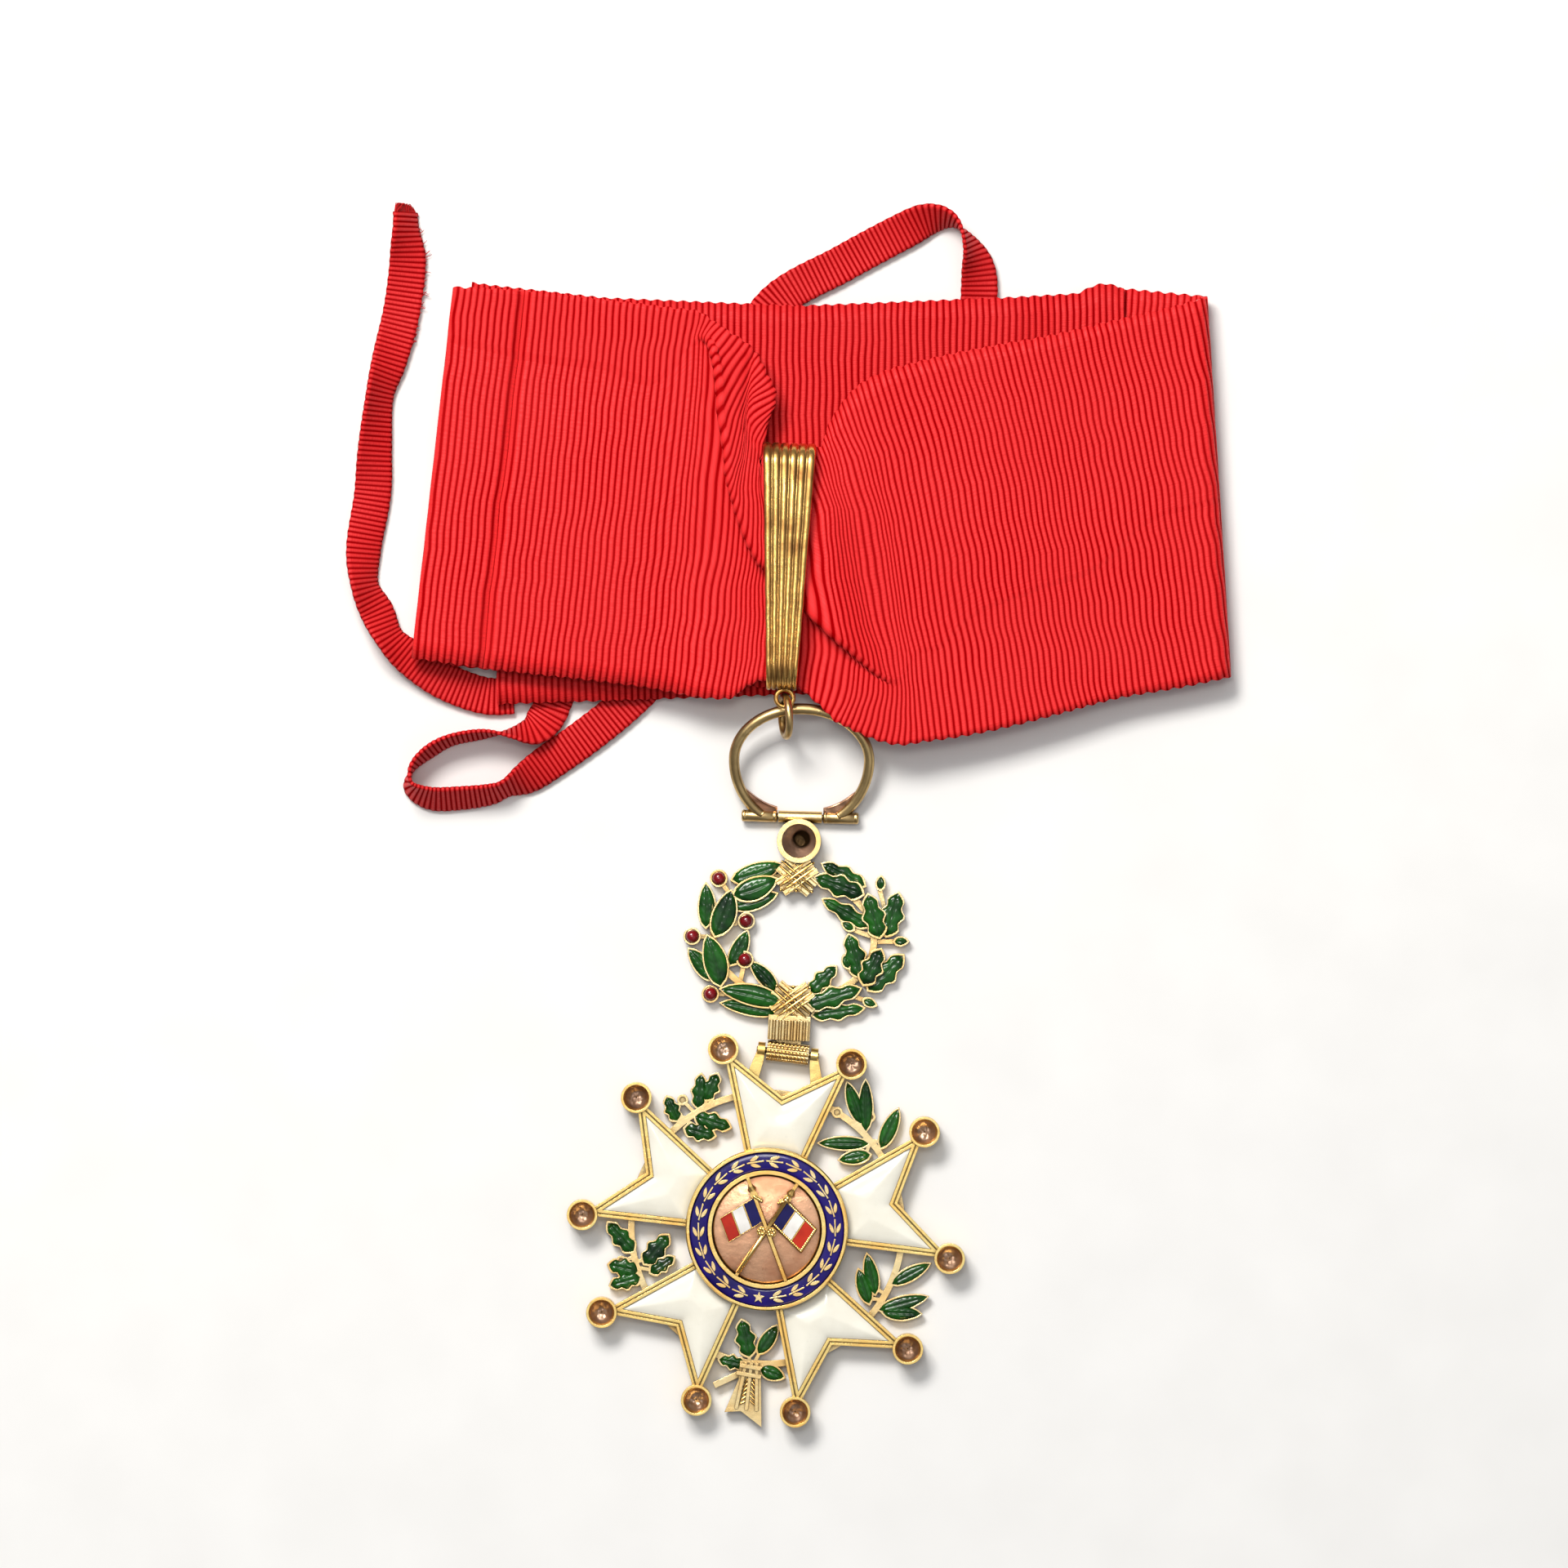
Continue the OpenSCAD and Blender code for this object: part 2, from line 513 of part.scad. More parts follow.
// Wreath leaves as shares of the wreath's half width and half height; width is a share of the widest leaf.
// [base right, base up, tip right, tip up, width]
laurel_front = [
    [-0.56, 0.47, -0.16, 0.72, 0.97], [-0.69, -0.05, -0.56, 0.56, 1], [-0.61, -0.65, -0.76, 0.0, 1],
    [-0.04, -0.80, -0.63, -0.66, 0.9]];
laurel_rear = [
    [-0.58, 0.66, -0.13, 0.90, 0.9], [-0.57, 0.33, -0.15, 0.54, 0.75], [-0.77, 0.05, -0.79, 0.63, 0.75],
    [-0.68, -0.58, -0.92, -0.18, 0.75], [-0.55, -0.39, -0.40, 0.08, 0.72], [-0.11, -0.68, -0.38, -0.30, 0.68],
    [-0.10, -0.93, -0.62, -0.83, 0.7]];
oak_front = [
    [0.60, 0.57, 0.14, 0.76, 0.88], [0.75, 0.04, 0.62, 0.60, 0.9], [0.62, -0.54, 0.77, -0.06, 0.88],
    [0.12, -0.82, 0.62, -0.56, 0.85]];
oak_rear = [
    [0.61, 0.67, 0.20, 0.93, 0.74], [0.67, 0.18, 0.22, 0.50, 0.72], [0.80, 0.06, 0.89, 0.64, 0.95],
    [0.61, -0.46, 0.47, 0.10, 0.88], [0.66, -0.60, 0.97, -0.12, 0.95], [0.15, -0.67, 0.39, -0.30, 0.74],
    [0.18, -0.93, 0.66, -0.80, 0.68]];
// Buds: place as the leaves', turn in degrees, and the end of the stalk
buds = [[0.73, 0.62, 90, 0.78, 0.40], [0.53, 0.13, 150, 0.70, 0.06], [0.86, 0.02, 5, 0.71, 0.01],
    [0.50, -0.35, 115, 0.56, -0.45], [0.62, -0.70, -20, 0.55, -0.67]];
bud_l = 2.6;
bud_w = 1.6;
// Berries: place, and the end of the stalk
berries = [[-0.68, 0.68, -0.58, 0.50], [-0.42, 0.18, -0.62, 0.10], [-0.885, -0.04, -0.72, -0.04],
    [-0.415, -0.29, -0.46, -0.68], [-0.70, -0.73, -0.52, -0.72]];
berry_rim = 0.33;
berry_floor = 0.6;

function on_wreath(x, y) = [x * wreath_w / 2, y * wreath_h / 2];
module wreath_leaf(row, oak, grow) {
    w = row[4] * wreath_leaf_w;
    leaf(on_wreath(row[0], row[1]), on_wreath(row[2], row[3]), w, oak, oak ? 0 : -0.06 * w, grow);
}
module bud(b, grow) {
    base = on_wreath(b[0], b[1]);
    leaf(base, base + bud_l * [cos(b[2]), sin(b[2])], bud_w, false, 0, grow);
}

enamel_depth = 0.4;
module green_pocket(row, oak, top) {
    slab(top - enamel_depth, enamel_depth + 1) wreath_leaf(row, oak, -leaf_rim);
}

function stem_line(side) = [for (i = [0:59]) let (c = cos(6 * i), s = sin(6 * i))
    on_wreath(0.7 * c, 0.75 * s) + side * [c, s]];

module crossed_bands(at, size, h) {
    translate(at) {
        slab(0, h - 0.4) square(size, center = true);
        for (a = [-38, 38])
            for (s = [-0.22, 0.22])
                rotate(a) slab(0, h) translate([-0.62 * size[0], s * size[1] - 0.4]) square([1.24 * size[0], 0.8]);
    }
}

module barrel_place() {
    rotate(-wreath_tilt) translate(-wreath_at)
        translate([star_pin_at[0], star_pin_at[1], star_axis_z]) rotate(star_tilt) rotate([0, 90, 0]) children();
}

module wreath_frame() {
    collet_y = high_drop - collet_d / 2 - 0.3;
    tab_w = barrel_w;
    tab_z = star_axis_z - 0.8;
    tab_foot = -low_drop + barrel_d / 2 + 0.35;
    flutes = 7;
    color("gold") wreath_place() difference() {
        union() {
            difference() {
                slab(0, rear_leaf_h - 0.2) difference() {
                    polygon(stem_line(0.5));
                    polygon(stem_line(-0.5));
                }
                for (r = laurel_rear) green_pocket(r, false, rear_leaf_h);
                for (r = oak_rear) green_pocket(r, true, rear_leaf_h);
            }
            difference() {
                slab(0, rear_leaf_h) {
                    for (r = laurel_rear) wreath_leaf(r, false, 0);
                    for (r = oak_rear) wreath_leaf(r, true, 0);
                    for (b = buds) bud(b, 0);
                }
                for (r = laurel_rear) green_pocket(r, false, rear_leaf_h);
                for (r = oak_rear) green_pocket(r, true, rear_leaf_h);
                for (b = buds) slab(rear_leaf_h - enamel_depth, 1) bud(b, -leaf_rim);
            }
            difference() {
                slab(0, front_leaf_h) {
                    for (r = laurel_front) wreath_leaf(r, false, 0);
                    for (r = oak_front) wreath_leaf(r, true, 0);
                }
                for (r = laurel_front) green_pocket(r, false, front_leaf_h);
                for (r = oak_front) green_pocket(r, true, front_leaf_h);
            }
            for (b = buds)
                slab(0, rear_leaf_h - 0.4) bar2d(on_wreath(b[0], b[1]), on_wreath(b[3], b[4]), 0.7);
            for (b = berries) {
                slab(0, rear_leaf_h - 0.4) bar2d(on_wreath(b[0], b[1]), on_wreath(b[2], b[3]), 0.7);
                translate(on_wreath(b[0], b[1])) cylinder(d = berry_d + 2 * berry_rim, h = 1.6);
            }
            crossed_bands([0, 0.75 * wreath_h / 2], [5, 4.6], front_leaf_h + 0.2);
            crossed_bands([0.3, -0.77 * wreath_h / 2], [5.4, 4.8], front_leaf_h + 0.2);
            translate([0, collet_y]) rotate_extrude()
                polygon([[0, 0], [collet_d / 2 - 0.5, 0], [collet_d / 2, 0.8], [collet_d / 2, 3.2],
                    [collet_d / 2 - 0.75, 3.2], [collet_d * 0.24, 1.2], [0, 1.2]]);
            translate([0, high_drop, bar_z]) rotate(bar_tilt - wreath_tilt) rotate([0, 90, 0])
                cylinder(d = bar_d, h = knuckle_w, center = true);
            slab(tab_z, 1.6) translate([-tab_w / 2, tab_foot]) square([tab_w, -tab_foot - 0.94 * wreath_h / 2]);
            for (i = [0:flutes - 1])
                translate([tab_w * ((i + 0.5) / flutes - 0.5), tab_foot, tab_z + 1.6]) rotate([-90, 0, 0])
                    cylinder(d = 0.7, h = 3);
            slab(tab_z, 1.1) translate([-tab_w * 0.3, tab_foot - 1]) square([tab_w * 0.6, 2]);
            barrel_place() cylinder(d = barrel_d, h = barrel_w, center = true);
        }
        for (b = berries)
            translate([on_wreath(b[0], b[1])[0], on_wreath(b[0], b[1])[1], berry_floor])
                cylinder(d = berry_d + 2 * seat, h = 3);
        translate([0, high_drop, bar_z]) rotate(bar_tilt - wreath_tilt) rotate([0, 90, 0])
            cylinder(d = pin_d + 2 * pin_gap, h = knuckle_w + 2, center = true);
        barrel_place() cylinder(d = pin_d + 2 * pin_gap, h = barrel_w + 2, center = true);
        barrel_place() for (a = [-65:26:65])
            rotate(a + 180) translate([barrel_d / 2 + 0.12, 0]) cylinder(d = 0.5, h = barrel_w + 2, center = true);
    }
}

module around_ties() {
    for (y = [0.75, -0.77]) translate([0, y * wreath_h / 2]) square([8.4, 6.2], center = true);
    for (b = berries) translate(on_wreath(b[0], b[1])) circle(d = berry_d + 2 * berry_rim + 2 * seat);
}

module green_set(front, rear, oak) {
    slab(front_leaf_h - enamel_depth, enamel_depth) difference() {
        for (r = front) wreath_leaf(r, oak, -leaf_rim - 0.03);
        around_ties();
    }
    slab(rear_leaf_h - enamel_depth, enamel_depth) difference() {
        for (r = rear) wreath_leaf(r, oak, -leaf_rim - 0.03);
        for (r = front) wreath_leaf(r, oak, seat);
        around_ties();
    }
}

module laurel_enamel() {
    color("darkgreen") wreath_place() green_set(laurel_front, laurel_rear, false);
}

module oak_enamel() {
    color("darkgreen") wreath_place() {
        green_set(oak_front, oak_rear, true);
        slab(rear_leaf_h - enamel_depth, enamel_depth) difference() {
            for (b = buds) bud(b, -leaf_rim - 0.03);
            for (r = oak_front) wreath_leaf(r, true, seat);
            for (r = oak_rear) wreath_leaf(r, true, seat);
        }
    }
}

module berry(i) {
    at = on_wreath(berries[i][0], berries[i][1]);
    color("firebrick") wreath_place()
        translate([at[0], at[1], berry_floor + berry_d / 2 + 0.01]) sphere(d = berry_d);
}

// Arm outline, its axis along +X, from under the medallion out to the two cups
arm_tip = cup_reach * [cos(cup_spread), sin(cup_spread)];
arm_side = (arm_tip[1] - arm_root) / arm_tip[0];
arm_in = medal_d / 2 - 2;
arm_outline = [[arm_in, -arm_root - arm_side * arm_in], [arm_tip[0], -arm_tip[1]], [notch_reach, 0], arm_tip,
    [arm_in, arm_root + arm_side * arm_in]];

module arm_place(i) {
    rotate(90 + 72 * i) children();
}

module arm_panel(d) {
    difference() {
        polygon(inset(arm_outline, d));
        circle(d = medal_d + 2 * seat);
    }
}

// Distance from the star's centre, along the arm, to the notch's edge at a distance to its side
function notch_edge(side) = notch_reach + (arm_tip[0] - notch_reach) * side / arm_tip[1];
ear_in = barrel_w / 2 + star_swing_gap;
ear_w = 1.1;
ear_d = 2.3;

module star_frame() {
    hub = medal_d / 2 - 0.4;
    hub_step = 0.2;
    ridge = 0.38 * border_w;
    groove = 0.2 * border_w;
    color("gold") star_place() difference() {
        union() {
            for (i = [0:4]) arm_place(i) difference() {
                slab(arm_z, border_z - arm_z) polygon(arm_outline);
                slab(floor_z, border_h + 1) arm_panel(border_w);
                slab(border_z - 0.3, 1) difference() {
                    arm_panel(ridge);
                    arm_panel(ridge + groove);
                }
            }
            translate([0, 0, arm_z]) cylinder(r = hub, h = border_z - arm_z - hub_step);
            for (i = [0:4]) arm_place(i) for (s = [-1, 1])
                translate([arm_tip[0], s * arm_tip[1], arm_z - 0.5]) cylinder(d = cup_d, h = cup_h);
            for (s = [-1, 1]) {
                slab(star_axis_z - 0.6, 1.5) difference() {
                    polygon([[s * ear_in, pin_reach + 0.5], [s * ear_in, pin_reach - 1.5],
                        [s * (ear_in + 0.5), notch_edge(ear_in + 0.5) - 0.5],
                        [s * (ear_in + 2.2), notch_edge(ear_in + 2.2) - 0.5], [s * (ear_in + ear_w), pin_reach]]);
                    translate([0, pin_reach]) square([2 * ear_in, 20], center = true);
                }
                translate([s * ear_in, pin_reach, star_axis_z]) rotate([0, s * 90, 0]) cylinder(d = ear_d, h = ear_w);
            }
        }
        for (i = [0:4]) arm_place(i) for (s = [-1, 1])
            translate([arm_tip[0], s * arm_tip[1], arm_z - 0.5]) rotate_extrude()
                polygon([[0, 1.1], [0.5 * cup_d - 2.6 * cup_wall, 1.1], [0.5 * cup_d - cup_wall, cup_h],
                    [0.5 * cup_d - cup_wall, cup_h + 1], [0, cup_h + 1]]);
        translate([0, pin_reach, star_axis_z]) rotate([0, 90, 0])
            cylinder(d = pin_d + pin_gap, h = 4 * ear_in, center = true);
    }
}

module star_pin() {
    color("gold") star_place() translate([0, pin_reach, star_axis_z]) rotate([0, 90, 0])
        cylinder(d = pin_d, h = 2 * (ear_in + ear_w) + 0.3, center = true);
}

module arm_enamel(i) {
    color("ivory") star_place() arm_place(i) {
        slab(floor_z, border_h - 0.2) arm_panel(border_w + seat);
        slab(floor_z, border_h + 0.15) arm_panel(border_w + 0.9);
    }
}

// Sprays between the arms. Each row is [kind, base out, base side, tip out, tip side, width]: out runs from
// the star's centre through the middle of the gap, as a share of the stem's radius, and side to its left.
// Width is a share of the widest spray leaf.
OAK = 1;
LAUREL = 0;
sprays = [
    [36, [[OAK, 1.01, 0.02, 1.24, -0.14, 0.8], [OAK, 1.04, -0.05, 1.18, -0.25, 0.86],
        [OAK, 0.99, 0.07, 0.77, -0.14, 0.92], [OAK, 0.95, 0.18, 0.77, -0.01, 0.88],
        [OAK, 1.0, 0.19, 1.22, 0.17, 0.8]]],
    [108, [[OAK, 0.99, -0.01, 1.15, -0.28, 0.95], [OAK, 0.95, 0.09, 0.71, -0.10, 1],
        [OAK, 0.92, 0.16, 0.70, 0.07, 0.75], [OAK, 0.98, 0.13, 1.21, 0.03, 0.98],
        [OAK, 0.97, 0.17, 1.23, 0.19, 0.85]]],
    [180, [[OAK, 0.97, -0.01, 0.68, -0.11, 1], [LAUREL, 0.94, 0.04, 0.69, 0.17, 0.78],
        [OAK, 1.02, -0.03, 1.0, -0.25, 0.75], [LAUREL, 1.03, 0.06, 1.08, 0.27, 0.8]]],
    [252, [[LAUREL, 0.94, -0.12, 0.74, 0.15, 0.78], [LAUREL, 1.0, 0, 1.21, 0.28, 0.74],
        [LAUREL, 0.99, -0.21, 1.30, 0.05, 0.78], [LAUREL, 1.02, -0.21, 1.31, -0.09, 0.8],
        [LAUREL, 0.93, -0.20, 0.73, 0.02, 0.78]]],
    [324, [[LAUREL, 1.03, 0, 1.20, 0.31, 0.78], [LAUREL, 1.01, -0.06, 1.31, 0.22, 0.78],
        [LAUREL, 0.99, -0.22, 1.32, -0.11, 0.82], [LAUREL, 0.98, -0.14, 0.71, 0.16, 0.74],
        [LAUREL, 0.93, -0.20, 0.72, -0.04, 0.76]]]];
// Round fruit beside the leaves: [turn of the gap, out, side]
fruits = [[36, 1.13, 0.08], [108, 1.10, 0.03], [252, 1.1, 0.14], [324, 1.12, 0.0], [324, 0.98, 0.2]];
fruit_d = 1.7;
trunk_h = 1.6;

module spray_leaf(row, grow) {
    leaf(crown_r * [row[1], row[2]], crown_r * [row[3], row[4]], row[5] * spray_leaf_w, row[0] == OAK, 0, grow);
}

trunk_outline = crown_r * [[0.99, -0.08], [1.13, -0.075], [1.38, -0.15], [1.36, -0.03], [1.46, 0.135],
    [1.12, 0.09], [0.99, 0.06]];

module leaf_crown() {
    color("gold") star_place() {
        difference() {
            union() {
                slab(crown_z, crown_h) {
                    difference() {
                        circle(r = crown_r + crown_stem_w / 2);
                        circle(r = crown_r - crown_stem_w / 2);
                    }
                    for (s = sprays) rotate(90 + s[0]) for (r = s[1]) {
                        spray_leaf(r, 0);
                        bar2d(crown_r * [1, r[2] * 0.6], crown_r * [lerp(r[1], r[3], 0.2), lerp(r[2], r[4], 0.2)], 0.55);
                    }
                    for (f = fruits) rotate(90 + f[0]) {
                        bar2d(crown_r * [1, f[2] * 0.6], crown_r * [f[1], f[2]], 0.55);
                        translate(crown_r * [f[1], f[2]]) circle(d = fruit_d);
                    }
                    rotate(270) bar2d(crown_r * [1.06, -0.03], crown_r * [1.19, -0.24], 0.95);
                }
                rotate(270) slab(crown_z, trunk_h) polygon(trunk_outline);
                rotate(270) for (y = [-0.045, 0.005, 0.055])
                    slab(crown_z, trunk_h + 0.35) bar2d(crown_r * [1.0, y * 0.8], crown_r * [1.34, 1.5 * y], 0.5);
                rotate(270) for (x = [1.02, 1.08])
                    slab(crown_z, trunk_h + 0.6) bar2d(crown_r * [x, -0.09], crown_r * [x + 0.01, 0.08], 0.6);
            }
            for (s = sprays) rotate(90 + s[0]) for (r = s[1])
                slab(crown_z + crown_h - enamel_depth, enamel_depth + 2) difference() {
                    spray_leaf(r, -leaf_rim);
                    if (s[0] == 180) polygon(trunk_outline);
                }
            for (f = fruits) rotate(90 + f[0])
                slab(crown_z + crown_h - enamel_depth, 2) translate(crown_r * [f[1], f[2]]) circle(d = fruit_d - 0.7);
        }
    }
}

module spray_enamel() {
    color("darkgreen") star_place()
        for (s = sprays) rotate(90 + s[0])
            slab(crown_z + crown_h - enamel_depth, enamel_depth) for (i = [0:len(s[1]) - 1]) difference() {
                spray_leaf(s[1][i], -leaf_rim - 0.03);
                if (s[0] == 180) polygon(inset(trunk_outline, -seat));
                for (k = [0:len(s[1]) - 1]) if (k < i) spray_leaf(s[1][k], -leaf_rim + 0.02);
            }
}

// Medallion: a turned frame with a blue ring and a domed centre let into it
medal_floor = 0.8;
band_z = medal_z + medal_h - 0.3;
disc_edge_z = medal_z + medal_h - 0.9;
disc_crown = 0.3;

module medal_frame() {
    r = medal_d / 2;
    lip = medal_z + medal_h;
    color("gold") star_place() rotate_extrude() polygon([
        [0, medal_z], [r - 0.15, medal_z], [r, medal_z + 0.3], [r, lip - 0.3], [r - 0.15, lip], [band_d / 2, lip],
        [band_d / 2, medal_z + medal_floor], [band_in_d / 2, medal_z + medal_floor], [band_in_d / 2, lip + 0.1],
        [disc_d / 2, lip + 0.1], [disc_d / 2, medal_z + medal_floor], [0, medal_z + medal_floor]]);
}

module band_enamel() {
    z = medal_z + medal_floor;
    color("navy") star_place() rotate_extrude() polygon([
        [band_in_d / 2 + seat, z], [band_d / 2 - seat, z], [band_d / 2 - seat, band_z],
        [band_in_d / 2 + seat, band_z]]);
}

// The band carries a running sprig all the way round, with one small star at the foot
sprig_count = 22;
module band_ornament() {
    r = (band_d + band_in_d) / 4;
    step = 360 / sprig_count;
    pitch = r * step * PI / 180;
    color("gold") star_place() slab(band_z, 0.15) {
        for (i = [1:sprig_count - 1]) rotate(-90 + i * step) for (s = [-1, 1]) {
            side = i < sprig_count / 2 ? 1 : -1;
            leaf([r + s * 0.09 * band_w, -side * 0.27 * pitch], [r + s * 0.3 * band_w, side * 0.24 * pitch], 0.55);
        }
        for (i = [1:sprig_count - 1]) rotate(-90 + i * step) translate([r, 0])
            square([0.22, 0.88 * pitch], center = true);
        translate([0, -r])
            polygon([for (k = [0:9]) band_w * (k % 2 == 0 ? 0.34 : 0.14) * [cos(90 + 36 * k), sin(90 + 36 * k)]]);
    }
}

module centre_disc() {
    r = disc_d / 2 - seat;
    z = medal_z + medal_floor;
    n = 8;
    color("peru") star_place() rotate_extrude() polygon(concat(
        [[0, z], [r, z]], [for (i = [0:n]) [r * cos(90 * i / n), disc_edge_z + disc_crown * sin(90 * i / n)]]));
}

// Two flags whose poles cross at the middle of the disc, drawn for the right flag and mirrored
flag_z = disc_edge_z + disc_crown + 0.02;
flag_droop = 11;
pole_along = [sin(pole_angle), cos(pole_angle)];
fly_along = [cos(pole_angle + flag_droop), -sin(pole_angle + flag_droop)];
flag_hoist = flag_hoist_share * disc_d;
flag_fly = flag_fly_share * disc_d;
flag_foot = 0.081 * disc_d * pole_along;
function flag_corner(u, v) = flag_foot + v * flag_hoist * pole_along + u * flag_fly * fly_along;
function flag_part(a, b, edge) = let (m = edge / flag_fly, k = edge / flag_hoist)
    [flag_corner(a + m, k), flag_corner(b - m, k), flag_corner(b - m, 1 - k), flag_corner(a + m, 1 - k)];

module both_flags() {
    children();
    mirror([1, 0]) children();
}

module pole_set(grow) {
    top = disc_d / 2 - 0.15;
    both_flags() {
        bar2d(-top * pole_along, top * pole_along, 0.5 + 2 * grow);
        translate([0.75, -0.35]) circle(d = 1.5 + 2 * grow);
        translate(0.69 * top * pole_along) circle(d = 1.2 + 2 * grow);
        bar2d(0.69 * top * pole_along, 0.69 * top * pole_along + [-1.1, -0.5], 0.4 + 2 * grow);
    }
}

module stripe(a, b) {
    star_place() slab(flag_z + 0.3, 0.3) difference() {
        both_flags() polygon(flag_part(a, b, 0.13));
        pole_set(seat);
    }
}

module flag_poles() {
    color("gold") star_place() {
        difference() {
            slab(flag_z, 0.55) both_flags() polygon(flag_part(0.0, 1.0, 0));
            for (i = [0:2]) slab(flag_z + 0.3, 1) both_flags() polygon(flag_part(i / 3, (i + 1) / 3, 0.09));
        }
        slab(flag_z, 0.8) pole_set(0);
    }
}

module flag_blue() {
    color("navy") stripe(0, 1 / 3);
}

module flag_white() {
    color("white") stripe(1 / 3, 2 / 3);
}

module flag_red() {
    color("red") stripe(2 / 3, 1);
}

module reverse_plate() {
    r = reverse_d / 2;
    color("gold") star_place() rotate_extrude() polygon([
        [0, 0], [r - 1.6, 0], [r - 1.6, 0.3], [r - 1.1, 0.3], [r - 1.1, 0], [r - 0.3, 0], [r, 0.3], [r, arm_z], [0, arm_z]]);
}

neck_ribbon();
tie_left();
tie_right();
bail();
jump_ring();
suspension_ring();
ring_pin();
wreath_frame();
laurel_enamel();
oak_enamel();
for (i = [0:4])
    berry(i);
star_frame();
star_pin();
for (i = [0:4])
    arm_enamel(i);
leaf_crown();
spray_enamel();
medal_frame();
band_enamel();
band_ornament();
centre_disc();
flag_poles();
flag_blue();
flag_white();
flag_red();
reverse_plate();
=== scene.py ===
# Looks of the order neck badge: ribbed silk, reeded bail, enamels, berries, linings and small gold trim,
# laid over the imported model, with a plain pale floor, soft light and a camera straight above.
from math import asin, atan2, ceil, copysign, cos, degrees, floor, pi, radians, sin, sqrt

import bpy
import numpy as np
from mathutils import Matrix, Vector, noise
from mathutils.geometry import delaunay_2d_cdt


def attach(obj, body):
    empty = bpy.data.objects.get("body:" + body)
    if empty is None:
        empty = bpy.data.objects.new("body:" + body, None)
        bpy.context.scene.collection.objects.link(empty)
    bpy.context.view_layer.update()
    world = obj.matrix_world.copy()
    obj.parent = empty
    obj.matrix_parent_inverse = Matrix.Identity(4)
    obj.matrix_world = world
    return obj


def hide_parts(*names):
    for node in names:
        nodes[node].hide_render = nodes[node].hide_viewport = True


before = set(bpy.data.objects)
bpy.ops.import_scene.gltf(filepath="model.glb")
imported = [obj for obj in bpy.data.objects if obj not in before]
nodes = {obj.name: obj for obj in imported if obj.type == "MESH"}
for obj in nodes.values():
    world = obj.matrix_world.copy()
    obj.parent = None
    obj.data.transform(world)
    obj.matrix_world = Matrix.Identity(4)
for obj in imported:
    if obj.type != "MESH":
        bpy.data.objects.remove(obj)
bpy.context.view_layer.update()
MM = 0.001


# Node helpers: values that are sockets are linked, others are set
def is_socket(value):
    return isinstance(value, bpy.types.NodeSocket)


def put(tree, node, values):
    for key, value in values.items():
        if is_socket(value):
            tree.links.new(value, node.inputs[key])
        else:
            node.inputs[key].default_value = value


def add(tree, kind, values=None, **props):
    node = tree.nodes.new("ShaderNode" + kind)
    for key, value in props.items():
        setattr(node, key, value)
    put(tree, node, values or {})
    return node


def start(name):
    material = bpy.data.materials.new(name)
    material.use_nodes = True
    tree = material.node_tree
    tree.nodes.clear()
    out = add(tree, "OutputMaterial")
    shader = add(tree, "BsdfPrincipled")
    tree.links.new(shader.outputs["BSDF"], out.inputs["Surface"])
    return material, tree, shader


def mix(tree, factor, a, b):
    a, b = (c if is_socket(c) else (*c, 1) for c in (a, b))
    return add(tree, "Mix", {0: factor, 6: a, 7: b}, data_type="RGBA").outputs[2]


def remap(tree, value, low, high, to_low=0.0, to_high=1.0, **props):
    values = {"Value": value, "From Min": low, "From Max": high, "To Min": to_low, "To Max": to_high}
    return add(tree, "MapRange", values, **props).outputs["Result"]


def noise_of(tree, coords, scale, detail=3.0, stretch=None):
    if stretch:
        coords = add(tree, "Mapping", {"Vector": coords, "Scale": stretch}).outputs["Vector"]
    return add(tree, "TexNoise", {"Vector": coords, "Scale": scale, "Detail": detail}).outputs["Fac"]


def places(tree):
    return add(tree, "TexCoord").outputs["Object"]


def point_value(tree, name):
    return add(tree, "Attribute", attribute_name=name).outputs["Fac"]


def shade(colour, share):
    return tuple(share * c for c in colour)


PATINA = (0.06, 0.035, 0.015)


# Gilt metal: blotches, dark specks, patina in the hollows, painted shade on the marked points, and rounded
# edges
def metal(name, bright, dark, rough, cover=0.8, grain=700.0, dents=0.25, mark=None):
    material, tree, shader = start(name)
    at = places(tree)
    blotch = noise_of(tree, at, 180.0, 4.0)
    fine = noise_of(tree, at, grain, 5.0)
    hollow = add(tree, "AmbientOcclusion", {"Distance": 1.3 * MM}, samples=6).outputs["AO"]
    colour = mix(tree, remap(tree, blotch, 0.38, 0.66), bright, dark)
    colour = mix(tree, remap(tree, fine, 0.62, 0.72, 0.0, 0.55), colour, dark)
    colour = mix(tree, remap(tree, hollow, 0.82, 0.3, 0.0, cover), colour, PATINA)
    # Marked points are darkened past the patina: painted shade at the bottom of a recess
    if mark:
        colour = mix(tree, remap(tree, point_value(tree, mark), 0.1, 0.6), colour, shade(PATINA, 0.6))
    edge = add(tree, "Bevel", {"Radius": 0.1 * MM}, samples=4).outputs["Normal"]
    bump = add(tree, "Bump", {"Height": fine, "Strength": dents, "Distance": 0.12 * MM, "Normal": edge})
    roughness = remap(tree, blotch, 0.3, 0.7, rough - 0.08, rough + 0.12)
    put(tree, shader, {"Base Color": colour, "Metallic": 1.0, "Roughness": roughness,
        "Normal": bump.outputs["Normal"]})
    return material


